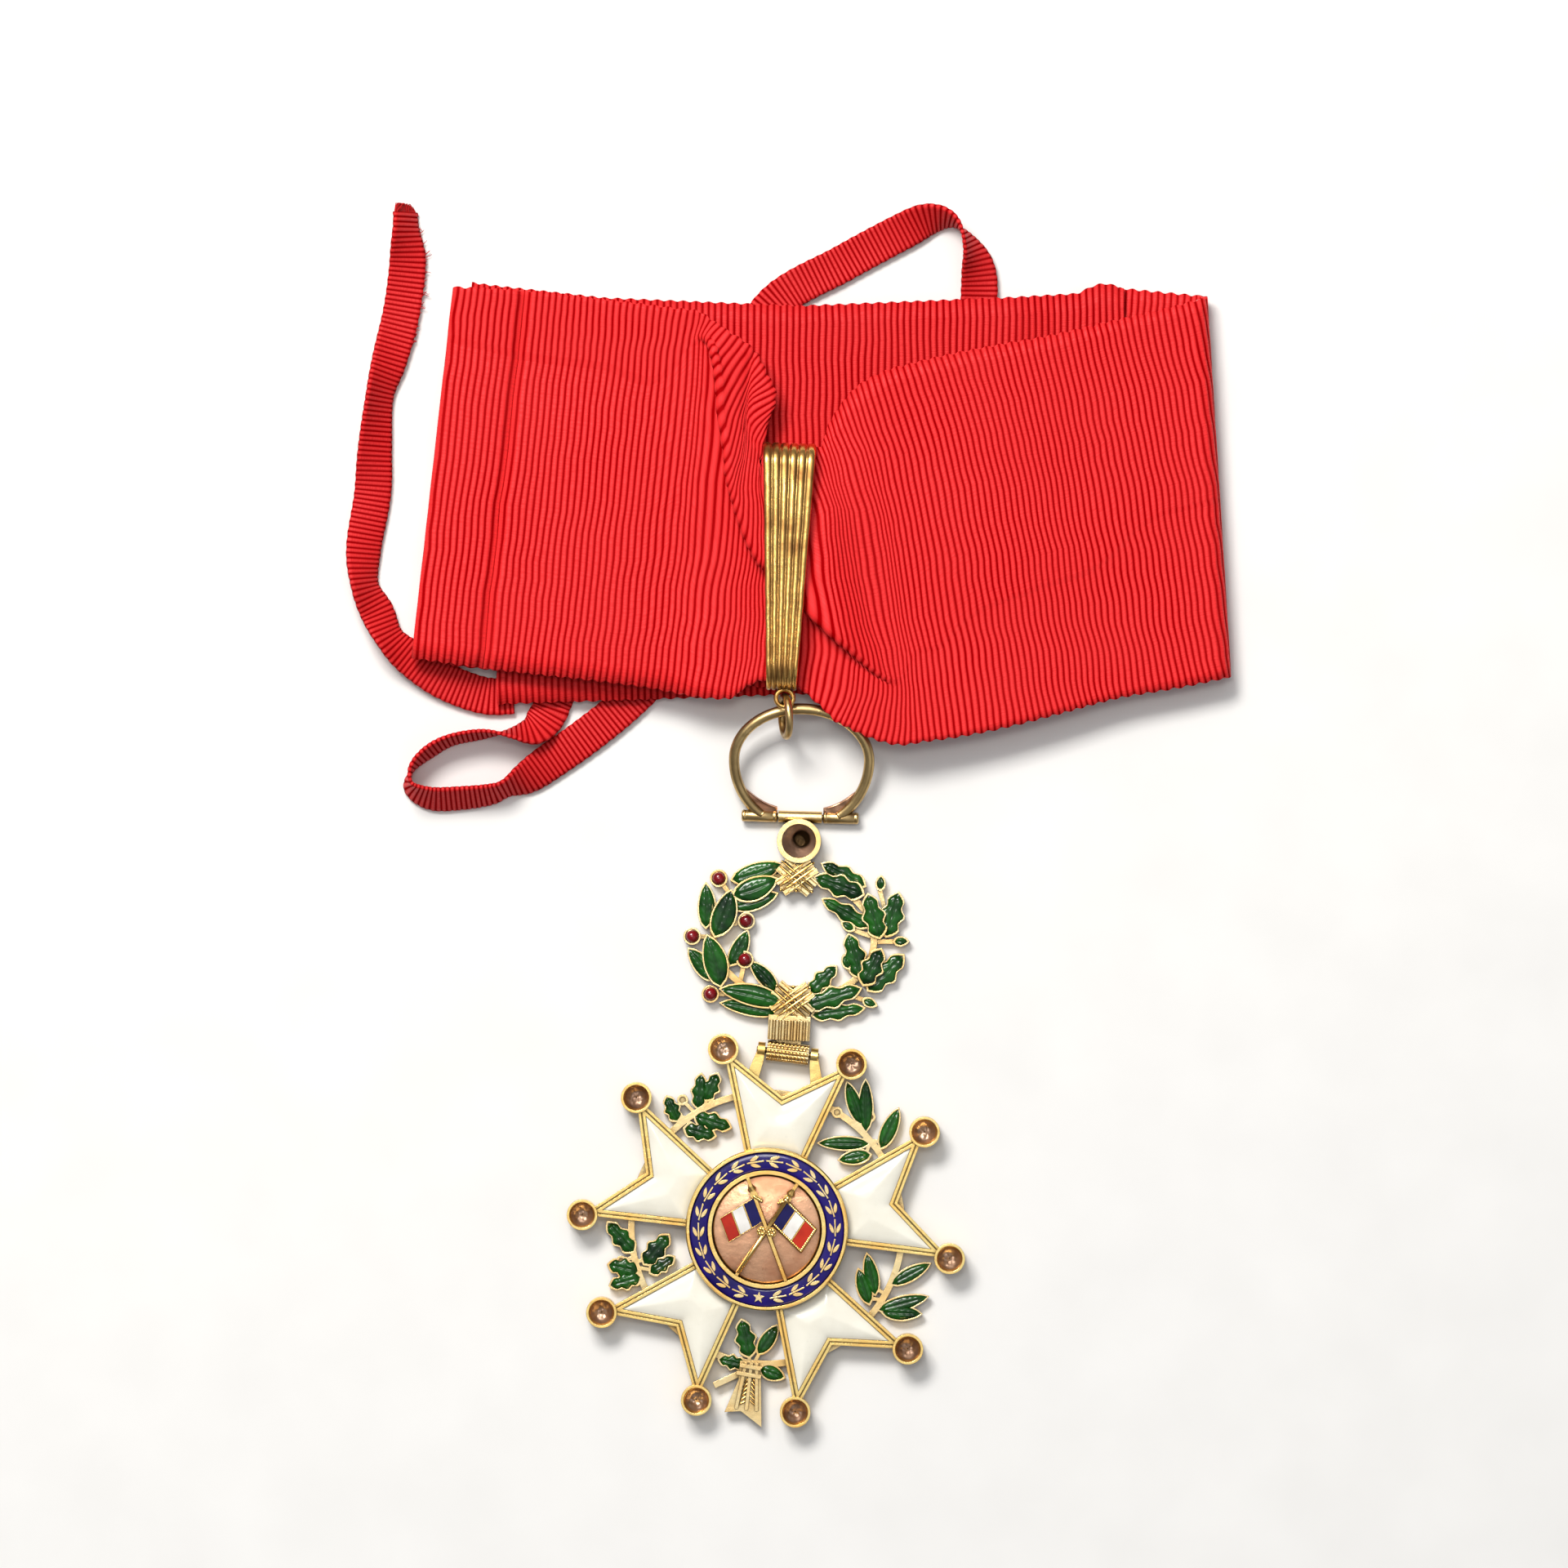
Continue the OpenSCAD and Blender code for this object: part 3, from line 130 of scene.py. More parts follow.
def enamel(name, light, deep, vein=0.0, rough=0.07, wave=0.1, specks=0.3, coat=0.1, gloss=0.16):
    material, tree, shader = start(name)
    at = places(tree)
    cloud = noise_of(tree, at, 260.0, 4.0)
    fine = noise_of(tree, at, 1500.0, 2.0)
    ripple = noise_of(tree, at, 420.0, 2.0)
    colour = mix(tree, remap(tree, cloud, 0.35, 0.68), light, deep)
    colour = mix(tree, remap(tree, fine, 0.66, 0.74, 0.0, specks), colour, shade(deep, 0.3))
    if vein:
        colour = mix(tree, point_value(tree, "vein"), colour, shade(light, vein))
    bump = add(tree, "Bump", {"Height": ripple, "Strength": wave, "Distance": 0.25 * MM})
    put(tree, shader, {"Base Color": colour, "Roughness": remap(tree, fine, 0.3, 0.8, rough, rough + 0.12),
        "Coat Weight": coat, "Coat Roughness": 0.04, "Specular IOR Level": gloss,
        "Normal": bump.outputs["Normal"]})
    return material


# Silk: the rib value runs from the valley to the ridge, and the UV map counts ribs and millimetres across
def silk(name, ridge, valley, thread=2.6):
    material, tree, shader = start(name)
    uv = add(tree, "TexCoord").outputs["UV"]
    rib = point_value(tree, "rib")
    threads = noise_of(tree, uv, thread, 2.0, (0.25, 2.4, 1.0))
    broad = noise_of(tree, uv, 0.09, 3.0)
    # Painted shade in the rib valleys and a painted highlight on the ridges
    colour = mix(tree, remap(tree, rib, 0.35, 0.98), valley, ridge)
    colour = mix(tree, remap(tree, threads, 0.35, 0.7, 0.0, 0.3), colour, valley)
    colour = mix(tree, remap(tree, broad, 0.35, 0.7, 0.0, 0.22), colour, shade(ridge, 0.6))
    bump = add(tree, "Bump", {"Height": threads, "Strength": 0.45, "Distance": 0.12 * MM})
    put(tree, shader, {"Base Color": colour, "Roughness": remap(tree, threads, 0.3, 0.7, 0.5, 0.68),
        "Sheen Weight": remap(tree, rib, 0.5, 1.0, 0.0, 0.14), "Sheen Roughness": 0.5,
        "Sheen Tint": (1.0, 0.2, 0.18, 1.0), "Specular IOR Level": remap(tree, rib, 0.4, 1.0, 0.0, 0.22),
        "Normal": bump.outputs["Normal"]})
    return material


# Ridge colours carry a painted highlight, valley colours painted shade
SILK = silk("ribbed_silk", (0.82, 0.025, 0.026), (0.27, 0.0, 0.001))
# A darker copy of the same silk for the ribbon's lower layers: painted shade
SILK_BACK = silk("ribbed_silk_back", (0.74, 0.021, 0.022), (0.23, 0.0, 0.001))
TIE_SILK = silk("tie_silk", (0.66, 0.019, 0.020), (0.22, 0.0, 0.001), 3.2)
GOLD = metal("gilt_metal", (1.0, 0.75, 0.28), (0.76, 0.46, 0.13), 0.22, cover=0.9)
BRIGHT_GOLD = metal("bright_gilt", (1.0, 0.67, 0.23), (0.64, 0.34, 0.08), 0.2, cover=0.95)
PALE_GOLD = metal("pale_gilt", (1.0, 0.78, 0.40), (0.72, 0.46, 0.17), 0.22, cover=0.9)
COPPER_GILT = metal("copper_gilt", (0.86, 0.48, 0.28), (0.48, 0.22, 0.12), 0.24, grain=1100.0)
# Darker, browner gilt for the bail: painted shade
BAIL_GOLD = metal("shaded_bail_gilt", (0.80, 0.47, 0.14), (0.26, 0.12, 0.035), 0.27, grain=900.0, dents=0.4)
OLIVE_GOLD = metal("tarnished_gilt", (0.66, 0.46, 0.20), (0.34, 0.23, 0.10), 0.3, dents=0.3)
# The foil's deep-marked points get painted shade
FOIL = metal("foil_lining", (0.44, 0.29, 0.20), (0.20, 0.115, 0.075), 0.42, grain=500.0, dents=0.7,
    mark="deep")
WHITE = enamel("white_enamel", (0.72, 0.695, 0.60), (0.67, 0.64, 0.54), rough=0.12, specks=0.06, coat=0.2,
    gloss=0.4)
GREEN = enamel("green_enamel", (0.012, 0.095, 0.008), (0.001, 0.012, 0.002), vein=0.3, wave=0.3, coat=0.32)
BLUE = enamel("blue_enamel", (0.012, 0.004, 0.135), (0.004, 0.001, 0.06), rough=0.08, wave=0.12, coat=0.3)
FLAG_BLUE = enamel("flag_blue_enamel", (0.008, 0.007, 0.075), (0.004, 0.003, 0.035), rough=0.15)
FLAG_WHITE = enamel("flag_white_enamel", (0.72, 0.70, 0.66), (0.55, 0.52, 0.48), rough=0.16)
FLAG_RED = enamel("flag_red_enamel", (0.44, 0.024, 0.008), (0.24, 0.009, 0.005), rough=0.15)
RUBY = enamel("ruby_glass", (0.24, 0.003, 0.006), (0.08, 0.0, 0.003), rough=0.05, wave=0.2, coat=0.4,
    gloss=0.4)


# Mesh helpers, all in mm
def show(name, data):
    thing = bpy.data.objects.new(name, data)
    bpy.context.scene.collection.objects.link(thing)
    return thing


def make(name, verts, faces, body, material, uv=None, values=None):
    mesh = bpy.data.meshes.new(name)
    mesh.from_pydata((np.asarray(verts, float) * MM).tolist(), [], [tuple(int(i) for i in f) for f in faces])
    mesh.polygons.foreach_set("use_smooth", np.full(len(mesh.polygons), True))
    if uv is not None:
        layer = mesh.uv_layers.new(name="UVMap")
        index = np.zeros(len(mesh.loops), int)
        mesh.loops.foreach_get("vertex_index", index)
        layer.data.foreach_set("uv", np.asarray(uv, float)[index].ravel())
    for key, value in (values or {}).items():
        mesh.attributes.new(key, "FLOAT", "POINT").data.foreach_set("value", np.asarray(value, float))
    mesh.materials.append(material)
    mesh.update()
    piece = show(name, mesh)
    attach(piece, body)
    return piece


class Parts:
    """Small forms gathered into one mesh. A form is its points, its faces and, if it has any, its marks."""

    def __init__(self):
        self.verts = []
        self.faces = []
        self.marks = []
        self.count = 0

    def add(self, form, *moves):
        verts, faces, mark = (*form, None)[:3]
        for move in moves:
            verts = move(verts)
        verts = np.asarray(verts, float)
        self.verts.append(verts)
        self.marks.append(np.zeros(len(verts)) if mark is None else np.asarray(mark, float))
        self.faces.extend(tuple(self.count + int(i) for i in f) for f in faces)
        self.count += len(verts)

    def make(self, name, body, slot, material, key=None):
        values = {key: np.concatenate(self.marks)} if key else None
        return make(name, np.concatenate(self.verts), self.faces, body, material, None, values)


# Cosine and sine of an angle in degrees
def polar(angle):
    return np.array([cos(radians(angle)), sin(radians(angle))])


def turned(points, angle, at=(0.0, 0.0)):
    points = np.array(points, float)
    c, s = polar(angle)
    x, y = points[..., 0].copy(), points[..., 1].copy()
    points[..., 0] = at[0] + x * c - y * s
    points[..., 1] = at[1] + x * s + y * c
    return points


def tipped(points, angle):
    x, y, z = np.array(points, float).T
    c, s = polar(angle)
    return np.stack([x, y * c - z * s, y * s + z * c], -1)


def shifted(offset):
    return lambda points: points + np.asarray(offset, float)


def unit(v):
    return v / np.maximum(np.linalg.norm(v, axis=-1, keepdims=True), 1e-6)


def hump(distance, wide):
    return np.exp(-((distance / wide) ** 2))


def circle(sides):
    return np.linspace(0, 2 * pi, sides, endpoint=False)


def field(x, y, per_x, per_y, layer):
    values = [noise.noise(Vector((a * per_x, b * per_y, layer))) for a, b in zip(x.ravel(), y.ravel())]
    return np.array(values).reshape(x.shape)


def revolved(profile, sides):
    return np.array([(r * cos(q), r * sin(q), z) for r, z in profile for q in circle(sides)])


def grid_faces(rows, cols, close_rows=False, close_cols=False):
    r = np.arange(rows if close_rows else rows - 1)
    c = np.arange(cols if close_cols else cols - 1)
    r, c = np.meshgrid(r, c, indexing="ij")
    r1, c1 = (r + 1) % rows, (c + 1) % cols
    return np.stack([r * cols + c, r1 * cols + c, r1 * cols + c1, r * cols + c1], -1).reshape(-1, 4)


# The walls between an upper grid of points and the same grid below it
def wall_faces(rows, cols):
    n = rows * cols
    walls = []
    for i in range(rows - 1):
        a, b = i * cols, (i + 1) * cols
        walls.append((a, a + n, b + n, b))
        a, b = a + cols - 1, b + cols - 1
        walls.append((b, b + n, a + n, a))
    for j in range(cols - 1):
        walls.append((j + 1, j + 1 + n, j + n, j))
        a = (rows - 1) * cols + j
        walls.append((a, a + n, a + 1 + n, a + 1))
    return walls


# A closed sheet round a grid of points; half is the half thickness at each point
def sheet_mesh(grid, half):
    rows, cols = grid.shape[:2]
    normal = np.cross(np.gradient(grid, axis=0), np.gradient(grid, axis=1))
    normal /= np.maximum(np.linalg.norm(normal, axis=2, keepdims=True), 1e-9)
    top = grid + normal * half[..., None]
    low = grid - normal * half[..., None]
    faces = grid_faces(rows, cols)
    under = faces[:, ::-1] + rows * cols
    verts = np.concatenate([top.reshape(-1, 3), low.reshape(-1, 3)])
    return verts, np.concatenate([faces, under, np.array(wall_faces(rows, cols))])


# Loops of the weft at the cloth's edge, one to each two ribs
def loops(count, size):
    return size * (0.5 - 0.5 * np.cos(pi * count))


def ribs(count, power=0.7):
    return np.abs(np.sin(pi * count)) ** power


# A piece of ribbed silk: count is the rib number and across the place across the cloth at each point
def cloth(name, grid, ridge, count, across, half, rib, material):
    verts, faces = sheet_mesh(grid, half + rib * ridge)
    uv = np.stack([count, across], -1).reshape(-1, 2)
    return make(name, verts, faces, "ribbon_and_ring", material, np.tile(uv, (2, 1)),
        {"rib": np.tile(ridge.ravel(), 2)})


# A smooth curve through values at uneven knots
def hermite(knots, values, at):
    knots, values = np.asarray(knots, float), np.asarray(values, float)
    shape = (-1,) + (1,) * (values.ndim - 1)
    step = np.diff(knots)
    wide = step.reshape(shape)
    rise = np.diff(values, axis=0) / wide
    slope = np.zeros_like(values)
    slope[0], slope[-1] = rise[0], rise[-1]
    slope[1:-1] = (rise[:-1] * wide[1:] + rise[1:] * wide[:-1]) / (wide[1:] + wide[:-1])
    i = np.clip(np.searchsorted(knots, at, side="right") - 1, 0, len(knots) - 2)
    h = step[i].reshape(shape)
    t = ((at - knots[i]) / step[i]).reshape(shape)
    return ((2 * t**3 - 3 * t**2 + 1) * values[i] + (t**3 - 2 * t**2 + t) * h * slope[i]
        + (3 * t**2 - 2 * t**3) * values[i + 1] + (t**3 - t**2) * h * slope[i + 1])


# Distance of each point from a broken line
def to_line(x, y, line):
    best = np.full(np.shape(x), 1e9)
    for (ax, ay), (bx, by) in zip(line[:-1], line[1:]):
        ux, uy = bx - ax, by - ay
        t = np.clip(((x - ax) * ux + (y - ay) * uy) / (ux * ux + uy * uy), 0, 1)
        best = np.minimum(best, np.hypot(x - ax - t * ux, y - ay - t * uy))
    return best


# Ribbon. Levels and reaches are the CAD part's
RIBBON_W = 57.8
BAIL_MID = (2.845, 100.398)
BACK_Z, UNDER_Z, TURN = 3.1, 1.8, 0.85
# Height of a rib and half the cloth's thickness; rows to a rib, and points along each part of a rib
RIB, HALF = 0.16, 0.3
BACK_RIB, BACK_HALF = 0.12, 0.26
SELVEDGE, BACK_SELVEDGE = 0.3, 0.25
ROWS_PER_RIB, ALONG = 5, 18
# Fold lines: foot, head, side, radius of the turn, level that the cloth comes back on
LEFT_FOLD = ((-53.96, 86.8), (-47.7, 142.67), -1, 0.65, BACK_Z)
RIGHT_FOLD = ((70.56, 83.42), (66.96, 141.06), 1, 2.03, 0.56)
# Key ribs from left to right: number of the rib and share of the pleat, then x and y of its lower part (edge,
# two points, where it passes under the pleat) and of its upper part (the pleat's crest, two points, edge)
RIBS = [
    (-38, 0, -54, 86.8, -52.2, 102.3, -50.4, 118.4, -48.6, 134.6,
        -48.4, 135.8, -48.2, 138.1, -48, 140.3, -47.7, 142.7),
    (-26, 0, -42.1, 85.1, -40.4, 101.1, -38.6, 116, -36.9, 131.7,
        -36.8, 133, -36.4, 135.8, -36.1, 138.9, -35.8, 142.1),
    (-14, 0, -30.2, 83.8, -28.4, 99.2, -26.7, 114.7, -25, 130.2,
        -24.8, 131.5, -24.5, 134.6, -24.2, 137.6, -23.9, 140.7),
    (-4, 0, -20.2, 82.6, -18.5, 98, -16.9, 113.5, -15.3, 129,
        -15.2, 130.2, -14.8, 133.1, -14.4, 136.3, -14, 139.4),
    (0, 0, -16.3, 82, -14.2, 99.8, -12.4, 117.2, -10.8, 134,
        -10.7, 134.8, -10.5, 136.2, -10.2, 137.5, -10.1, 138.8),
    (3, 0.3, -13.3, 81.4, -11.7, 97, -10.2, 114, -8.8, 131.2,
        -9.1, 134.8, -8.7, 135.7, -8.2, 136.5, -7.7, 137.1),
    (5.5, 1, -10.8, 80.9, -9.3, 93.4, -7.8, 104.8, -6.6, 116.2,
        -8.4, 132.1, -7.6, 133.4, -6.6, 134.6, -5.7, 135.7),
    (8.6, 1, -7.7, 80.6, -6.3, 90.5, -5.3, 99.2, -4.5, 107.8,
        -7.8, 126.9, -6.2, 129.4, -4.6, 131.7, -3, 133.9),
    (10.7, 1, -5.6, 80.6, -4.6, 88.6, -3.9, 96.5, -3.2, 104.3,
        -7.1, 120.9, -5.5, 125, -3.6, 129, -1.6, 132.4),
    (14.6, 1, -2.4, 82.7, -1.7, 88.6, -1.4, 94.5, -1.1, 100.2,
        -5.7, 112.5, -4.2, 119.1, -2.9, 125.7, 0.2, 128.9),
    (16.9, 1, -0.5, 83.4, -0.2, 88.6, 0, 93.9, 0.1, 99.2,
        -5, 109.5, -3.9, 116, -2.9, 123.8, 1.1, 126.8),
    (18.8, 1, 1.4, 83.3, 1.4, 88.4, 1.4, 93.4, 1.4, 98.3,
        -4.1, 106.3, -3.4, 113.5, -2.6, 121.3, 1.1, 124.9),
    (20.3, 1, 2.9, 82.9, 2.9, 87.6, 2.9, 92.4, 2.9, 97.1,
        -2.9, 103.5, -2.5, 111.6, -2.1, 119.4, 0.5, 123.5),
    (22.1, 1, 4.6, 82.3, 5, 86.1, 5.2, 90, 5.1, 93.9,
        -1.4, 100.8, -1.4, 109.8, -1.4, 117.2, -0.1, 121.8),
    (25, 1, 7, 80.3, 7.7, 83.8, 8.2, 87.3, 8.2, 90.9,
        1.1, 98.8, 0.6, 106, -0.1, 113.5, -0.5, 118.8),
    (27, 1, 8.7, 78.8, 9.8, 82.3, 10.4, 85.7, 10.6, 88.6,
        5.8, 93.4, 5.1, 101.1, 3.6, 109.8, 1.6, 118.6),
    (29, 1, 10.3, 77.2, 11.6, 80.4, 12.4, 83.7, 12.7, 86.6,
        10.3, 89.1, 8.8, 97.3, 7.7, 108.5, 3.7, 118.4),
    (31, 0.85, 11.8, 76.5, 13, 79.6, 13.7, 82.6, 14.1, 85.4,
        12.4, 87.4, 10.4, 98, 9.2, 109.8, 5.8, 118.3),
    (33.5, 0.5, 13.8, 75.5, 14.9, 78.6, 15.6, 81.5, 15.9, 84,
        15, 85.4, 12.2, 98.1, 10.6, 109.8, 8, 118.3),
    (37, 0.15, 17, 74.2, 17.7, 77.1, 18.2, 80, 18.3, 82.4,
        18, 83.5, 14.9, 96, 12.8, 109.4, 9.4, 121.6),
    (40, 0, 19.8, 73.6, 20.3, 76.8, 20.5, 80, 20.4, 82.6,
        20.2, 83.6, 18.2, 96.5, 15.6, 110.5, 10.8, 124.2),
    (44.3, 0, 23.9, 74.1, 23.7, 78.4, 23.2, 82.8, 22.6, 87,
        22.5, 87.8, 20.5, 99.8, 18.1, 112.9, 13.7, 127.5),
    (48.2, 0, 27.8, 74.6, 27.3, 78.9, 26.7, 83.4, 26, 87.8,
        25.8, 88.6, 23.7, 102.3, 21.1, 116, 17, 129.5),
    (53.8, 0, 33.3, 75.6, 32.7, 81.2, 31.9, 86.8, 31.1, 92.4,
        30.9, 93.2, 28.8, 106, 26.2, 119.1, 22.4, 131.1),
    (65, 0, 44.1, 78.3, 43.1, 84.3, 42.1, 90.5, 41, 96.7,
        40.9, 97.6, 38.9, 109.8, 36.4, 121.9, 33.2, 133.5),
    (75, 0, 52.9, 80.6, 51.9, 86.8, 50.8, 93.4, 49.7, 99.8,
        49.6, 100.7, 47.6, 112.2, 45.5, 123.8, 42.7, 135.3),
    (85, 0, 62.5, 82.3, 61, 90.5, 59.8, 98.6, 58.5, 107.3,
        58.4, 108.1, 56.6, 118.2, 54.5, 128, 52.4, 137.5),
    (93, 0, 70.2, 83.9, 68.7, 92.4, 67.3, 101.1, 66, 109.5,
        65.8, 110.4, 64, 120.3, 62.1, 129.9, 60.1, 139.3),
    (100, 0, 76.9, 85.3, 75.4, 93.9, 74, 102.5, 72.7, 111,
        72.5, 111.9, 70.7, 122.2, 68.8, 131.9, 66.8, 141.1),
    (117, 0, 93.3, 88.6, 91.8, 97.2, 90.4, 105.9, 89.1, 114.3,
        88.9, 115.2, 87.1, 125.9, 85.2, 135.6, 83.2, 144.9),
]
# Level of the cloth by x
BASE_Z = [(-47, 4.4), (-36.9, 4.62), (-24.8, 4.93), (-16.2, 5.38), (-12.2, 5.75), (-9, 5.9), (6.4, 5.9),
    (8.7, 6.5), (10.8, 6.88), (12.9, 7.03), (15.6, 7.1), (19.6, 7.03), (23, 6.8), (34.2, 6.2), (45.9, 5.45),
    (59, 4.85), (64, 4.62)]
# Places of two small forms in the cloth: the hollow beside the pleat and the bulge right of the bail
PLEAT_CURL = [(-2.4, 131.6), (-2.9, 127.8), (-3.1, 124.3), (-2.9, 121.2), (-2.1, 118.3), (-1.0, 116.6)]
BULGE = [(13.3, 116.3), (12.8, 112.4), (12.0, 107.0)]


def base_level(x):
    return np.interp(x, *np.array(BASE_Z).T)


# Past a fold line the cloth turns round and runs back below
def wrap(grid, foot, head, out, turn, low_z):
    foot, head = np.array(foot, float), np.array(head, float)
    along = (head - foot) / np.linalg.norm(head - foot)
    normal = out * np.array([along[1], -along[0]])
    past = (grid[..., :2] - foot) @ normal + turn + HALF + RIB
    angle = np.clip(past / turn, 0, pi)
    moved = np.where(past > 0, turn * np.sin(angle) - np.maximum(past - pi * turn, 0), past)
    grid[..., :2] += (moved - past)[..., None] * normal
    high = grid[..., 2]
    grid[..., 2] = np.where(past > 0, high + (low_z - high) * 0.5 * (1 - np.cos(angle)), high)


def through(points, share):
    return np.moveaxis(hermite(range(4), np.moveaxis(points, 1, 0), share * 3), 0, 1)


def raised(flat, z):
    return np.concatenate([flat, z[..., None]], 2)


def ribbon_front():
    number = np.arange(-47.6 * ROWS_PER_RIB, 116.4 * ROWS_PER_RIB + 1) / ROWS_PER_RIB
    table = np.array(RIBS, float)
    knots = table[:, 0]
    points = hermite(knots, table[:, 2:].reshape(-1, 8, 2), np.clip(number, knots[0], knots[-1]))
    points = points + np.maximum(knots[0] - number, 0)[:, None, None] * np.array([-0.995, 0.11])
    fold = np.interp(number, knots, table[:, 1])[:, None, None]
    fine = np.linspace(0, 1, ALONG)
    low, upper = through(points[:, :4], fine), points[:, 4:]
    heading = unit(upper[:, 1] - upper[:, 0])[:, None]
    crest = upper[:, :1] + heading * fold * (TURN + HALF + RIB)
    high = through(np.concatenate([crest, upper[:, 1:]], 1), fine)
    step = 4 * TURN * fold[:, :, 0]
    low_z = base_level(low[..., 0]) + step * 0.3 * (1 - fine) ** 1.6
    crest_z = base_level(crest[:, :1, 0])
    high_z = base_level(high[..., 0]) + step * (1 - 0.5 * fine)
    # The hidden S of the pleat, blended with a plain step where there is none
    inner = crest + heading * fold * 2.2
    folded = [raised((low[:, -1:] + inner) / 2, (crest_z + low_z[:, -1:]) / 2)]
    turns = ((inner, 1, 1, (0, 45, 90, 135, 180)), (crest, -1, 3, (0, 45, 90, 135)))
    for middle, way, level, angles in turns:
        for a in np.radians(angles):
            at = middle + way * heading * fold * TURN * sin(a)
            folded.append(raised(at, crest_z + TURN * fold[:, :, 0] * (level - cos(a))))
    folded = np.concatenate(folded, 1)
    share = np.linspace(0, 1, folded.shape[1] + 2)[1:-1][None, :, None]
    first = raised(low[:, -1:], low_z[:, -1:])
    last = raised(crest, high_z[:, :1])
    plain = first + (last - first) * share
    folded = plain + (folded - plain) * np.clip(fold * 1.6, 0, 1)
    grid = np.concatenate([raised(low, low_z), folded, raised(high, high_z)], 1)
    rows, cols = grid.shape[:2]
    x, y = grid[..., 0], grid[..., 1]
    count = np.repeat(number[:, None], cols, 1)
    # Left pleat, the curl and the bulge, then a slow sag of the cloth and a sway of its ribs
    grid[..., 2] += 0.25 * hump(count + 32, 3.5) - 0.2 * hump(count + 21, 4) - 0.85 * hump(count + 27, 0.9)
    grid[:, -ALONG:, 2] -= 0.7 * hump(to_line(x, y, PLEAT_CURL), 0.9)[:, -ALONG:]
    grid[..., 2] += 0.3 * hump(to_line(x, y, BULGE), 3.2) * (x > 8)
    each = slice(None, None, ROWS_PER_RIB)
    sag = hermite(number[each], field(x[each], y[each], 0.045, 0.06, 3.1), number)
    calm = np.clip((np.abs(x - 3.2) - 5) / 8, 0, 1) * np.clip((64 - x) / 10, 0, 1)
    grid[..., 2] += 0.55 * sag * calm * np.clip((x + 50) / 8, 0, 1)
    grid[..., 0] += 0.34 * field(x, y, 0.06, 0.2, 5.0) + 0.09 * field(x, y, 0.2, 0.5, 9.0)
    for edge, inside in ((0, 2), (-1, -3)):
        grid[:, edge] += unit(grid[:, edge] - grid[:, inside]) * loops(number, SELVEDGE)[:, None]
    wrap(grid, *LEFT_FOLD)
    wrap(grid, *RIGHT_FOLD)
    across = np.repeat(np.linspace(0, 1, cols)[None], rows, 0) * RIBBON_W
    return cloth("ribbon_front", grid, ribs(count), count, across, HALF, RIB, SILK)


# Reaches of the ribbon from the bail's middle: half the gathered part, to the left fold, to the right fold
GATHERED, FAR_LEFT, FAR_RIGHT = 3.575, 53.6, 66.2


# Place across the picture of a reach, which counts half widths of the gathered part and then of the flat one
def reach_x(r):
    if abs(r) <= 1:
        return BAIL_MID[0] + r * GATHERED
    far = FAR_LEFT if r < 0 else FAR_RIGHT
    return BAIL_MID[0] + copysign(GATHERED + (abs(r) - 1) * (far - GATHERED), r)


# Lower layers: rows of reach, rise, lean and level; hem is the place and height of a bulge in the upper edge
def flat_layer(name, rows, z, material, wave, hem=(0, 0, 0)):
    per, cols = 4, 22
    knots, *columns = np.array([(reach_x(reach), *rest) for reach, *rest in rows]).T
    x = np.arange(ceil(knots[0] * per), floor(knots[-1] * per) + 1) / per
    rise, lean, level = (np.interp(x, knots, column)[:, None] for column in columns)
    lean = np.radians(lean)
    s = np.linspace(-0.5, 0.5, cols)[None] * RIBBON_W
    gx = x[:, None] + s * np.sin(lean)
    gy = BAIL_MID[1] + rise * RIBBON_W + s * np.cos(lean)
    gy[:, 0] -= loops(x, BACK_SELVEDGE)
    gy[:, -1] += loops(x, BACK_SELVEDGE)
    turned_up = hem[2] * np.sin(pi * np.clip((x - hem[0]) / (hem[1] - hem[0] + 1e-6), 0, 1)) ** 1.3
    gy[:, -3:] += turned_up[:, None] * np.array([0.3, 0.7, 1.0])
    gx += 0.25 * field(gx, gy, 0.1, 0.2, z)
    gz = z * level + wave * np.sin(gx * 0.16) * np.sin(gy * 0.11)
    count = np.repeat(x[:, None], cols, 1)
    across = np.repeat(s, len(x), 0)
    grid = np.stack([gx, gy, gz], -1)
    return cloth(name, grid, ribs(count), count, across, BACK_HALF, BACK_RIB, material)


BACK_ROWS = [(-1.93, 0.247, 4.8, 1), (-1.868, 0.24, 4, 1), (-1.487, 0.205, 1, 1), (0.6, 0.184, 0, 1),
    (1.506, 0.207, -0.6, 1), (1.602, 0.214, -0.8, 0.58), (1.775, 0.225, -1, 0.58)]
UNDER_ROWS = [(-1.816, 0.143, -1, 1), (-1.387, 0.155, -1, 1), (-0.79, 0.167, -1, 1), (1.506, 0.19, -2, 1),
    (1.602, 0.193, -2, 0.28), (1.858, 0.203, -3, 0.28)]
front = ribbon_front()
back = flat_layer("ribbon_back", BACK_ROWS, BACK_Z, SILK_BACK, 0.12, (47.5, 55.6, 1.25))
under = flat_layer("ribbon_under", UNDER_ROWS, UNDER_Z, SILK_BACK, 0.0)
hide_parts("neck_ribbon")

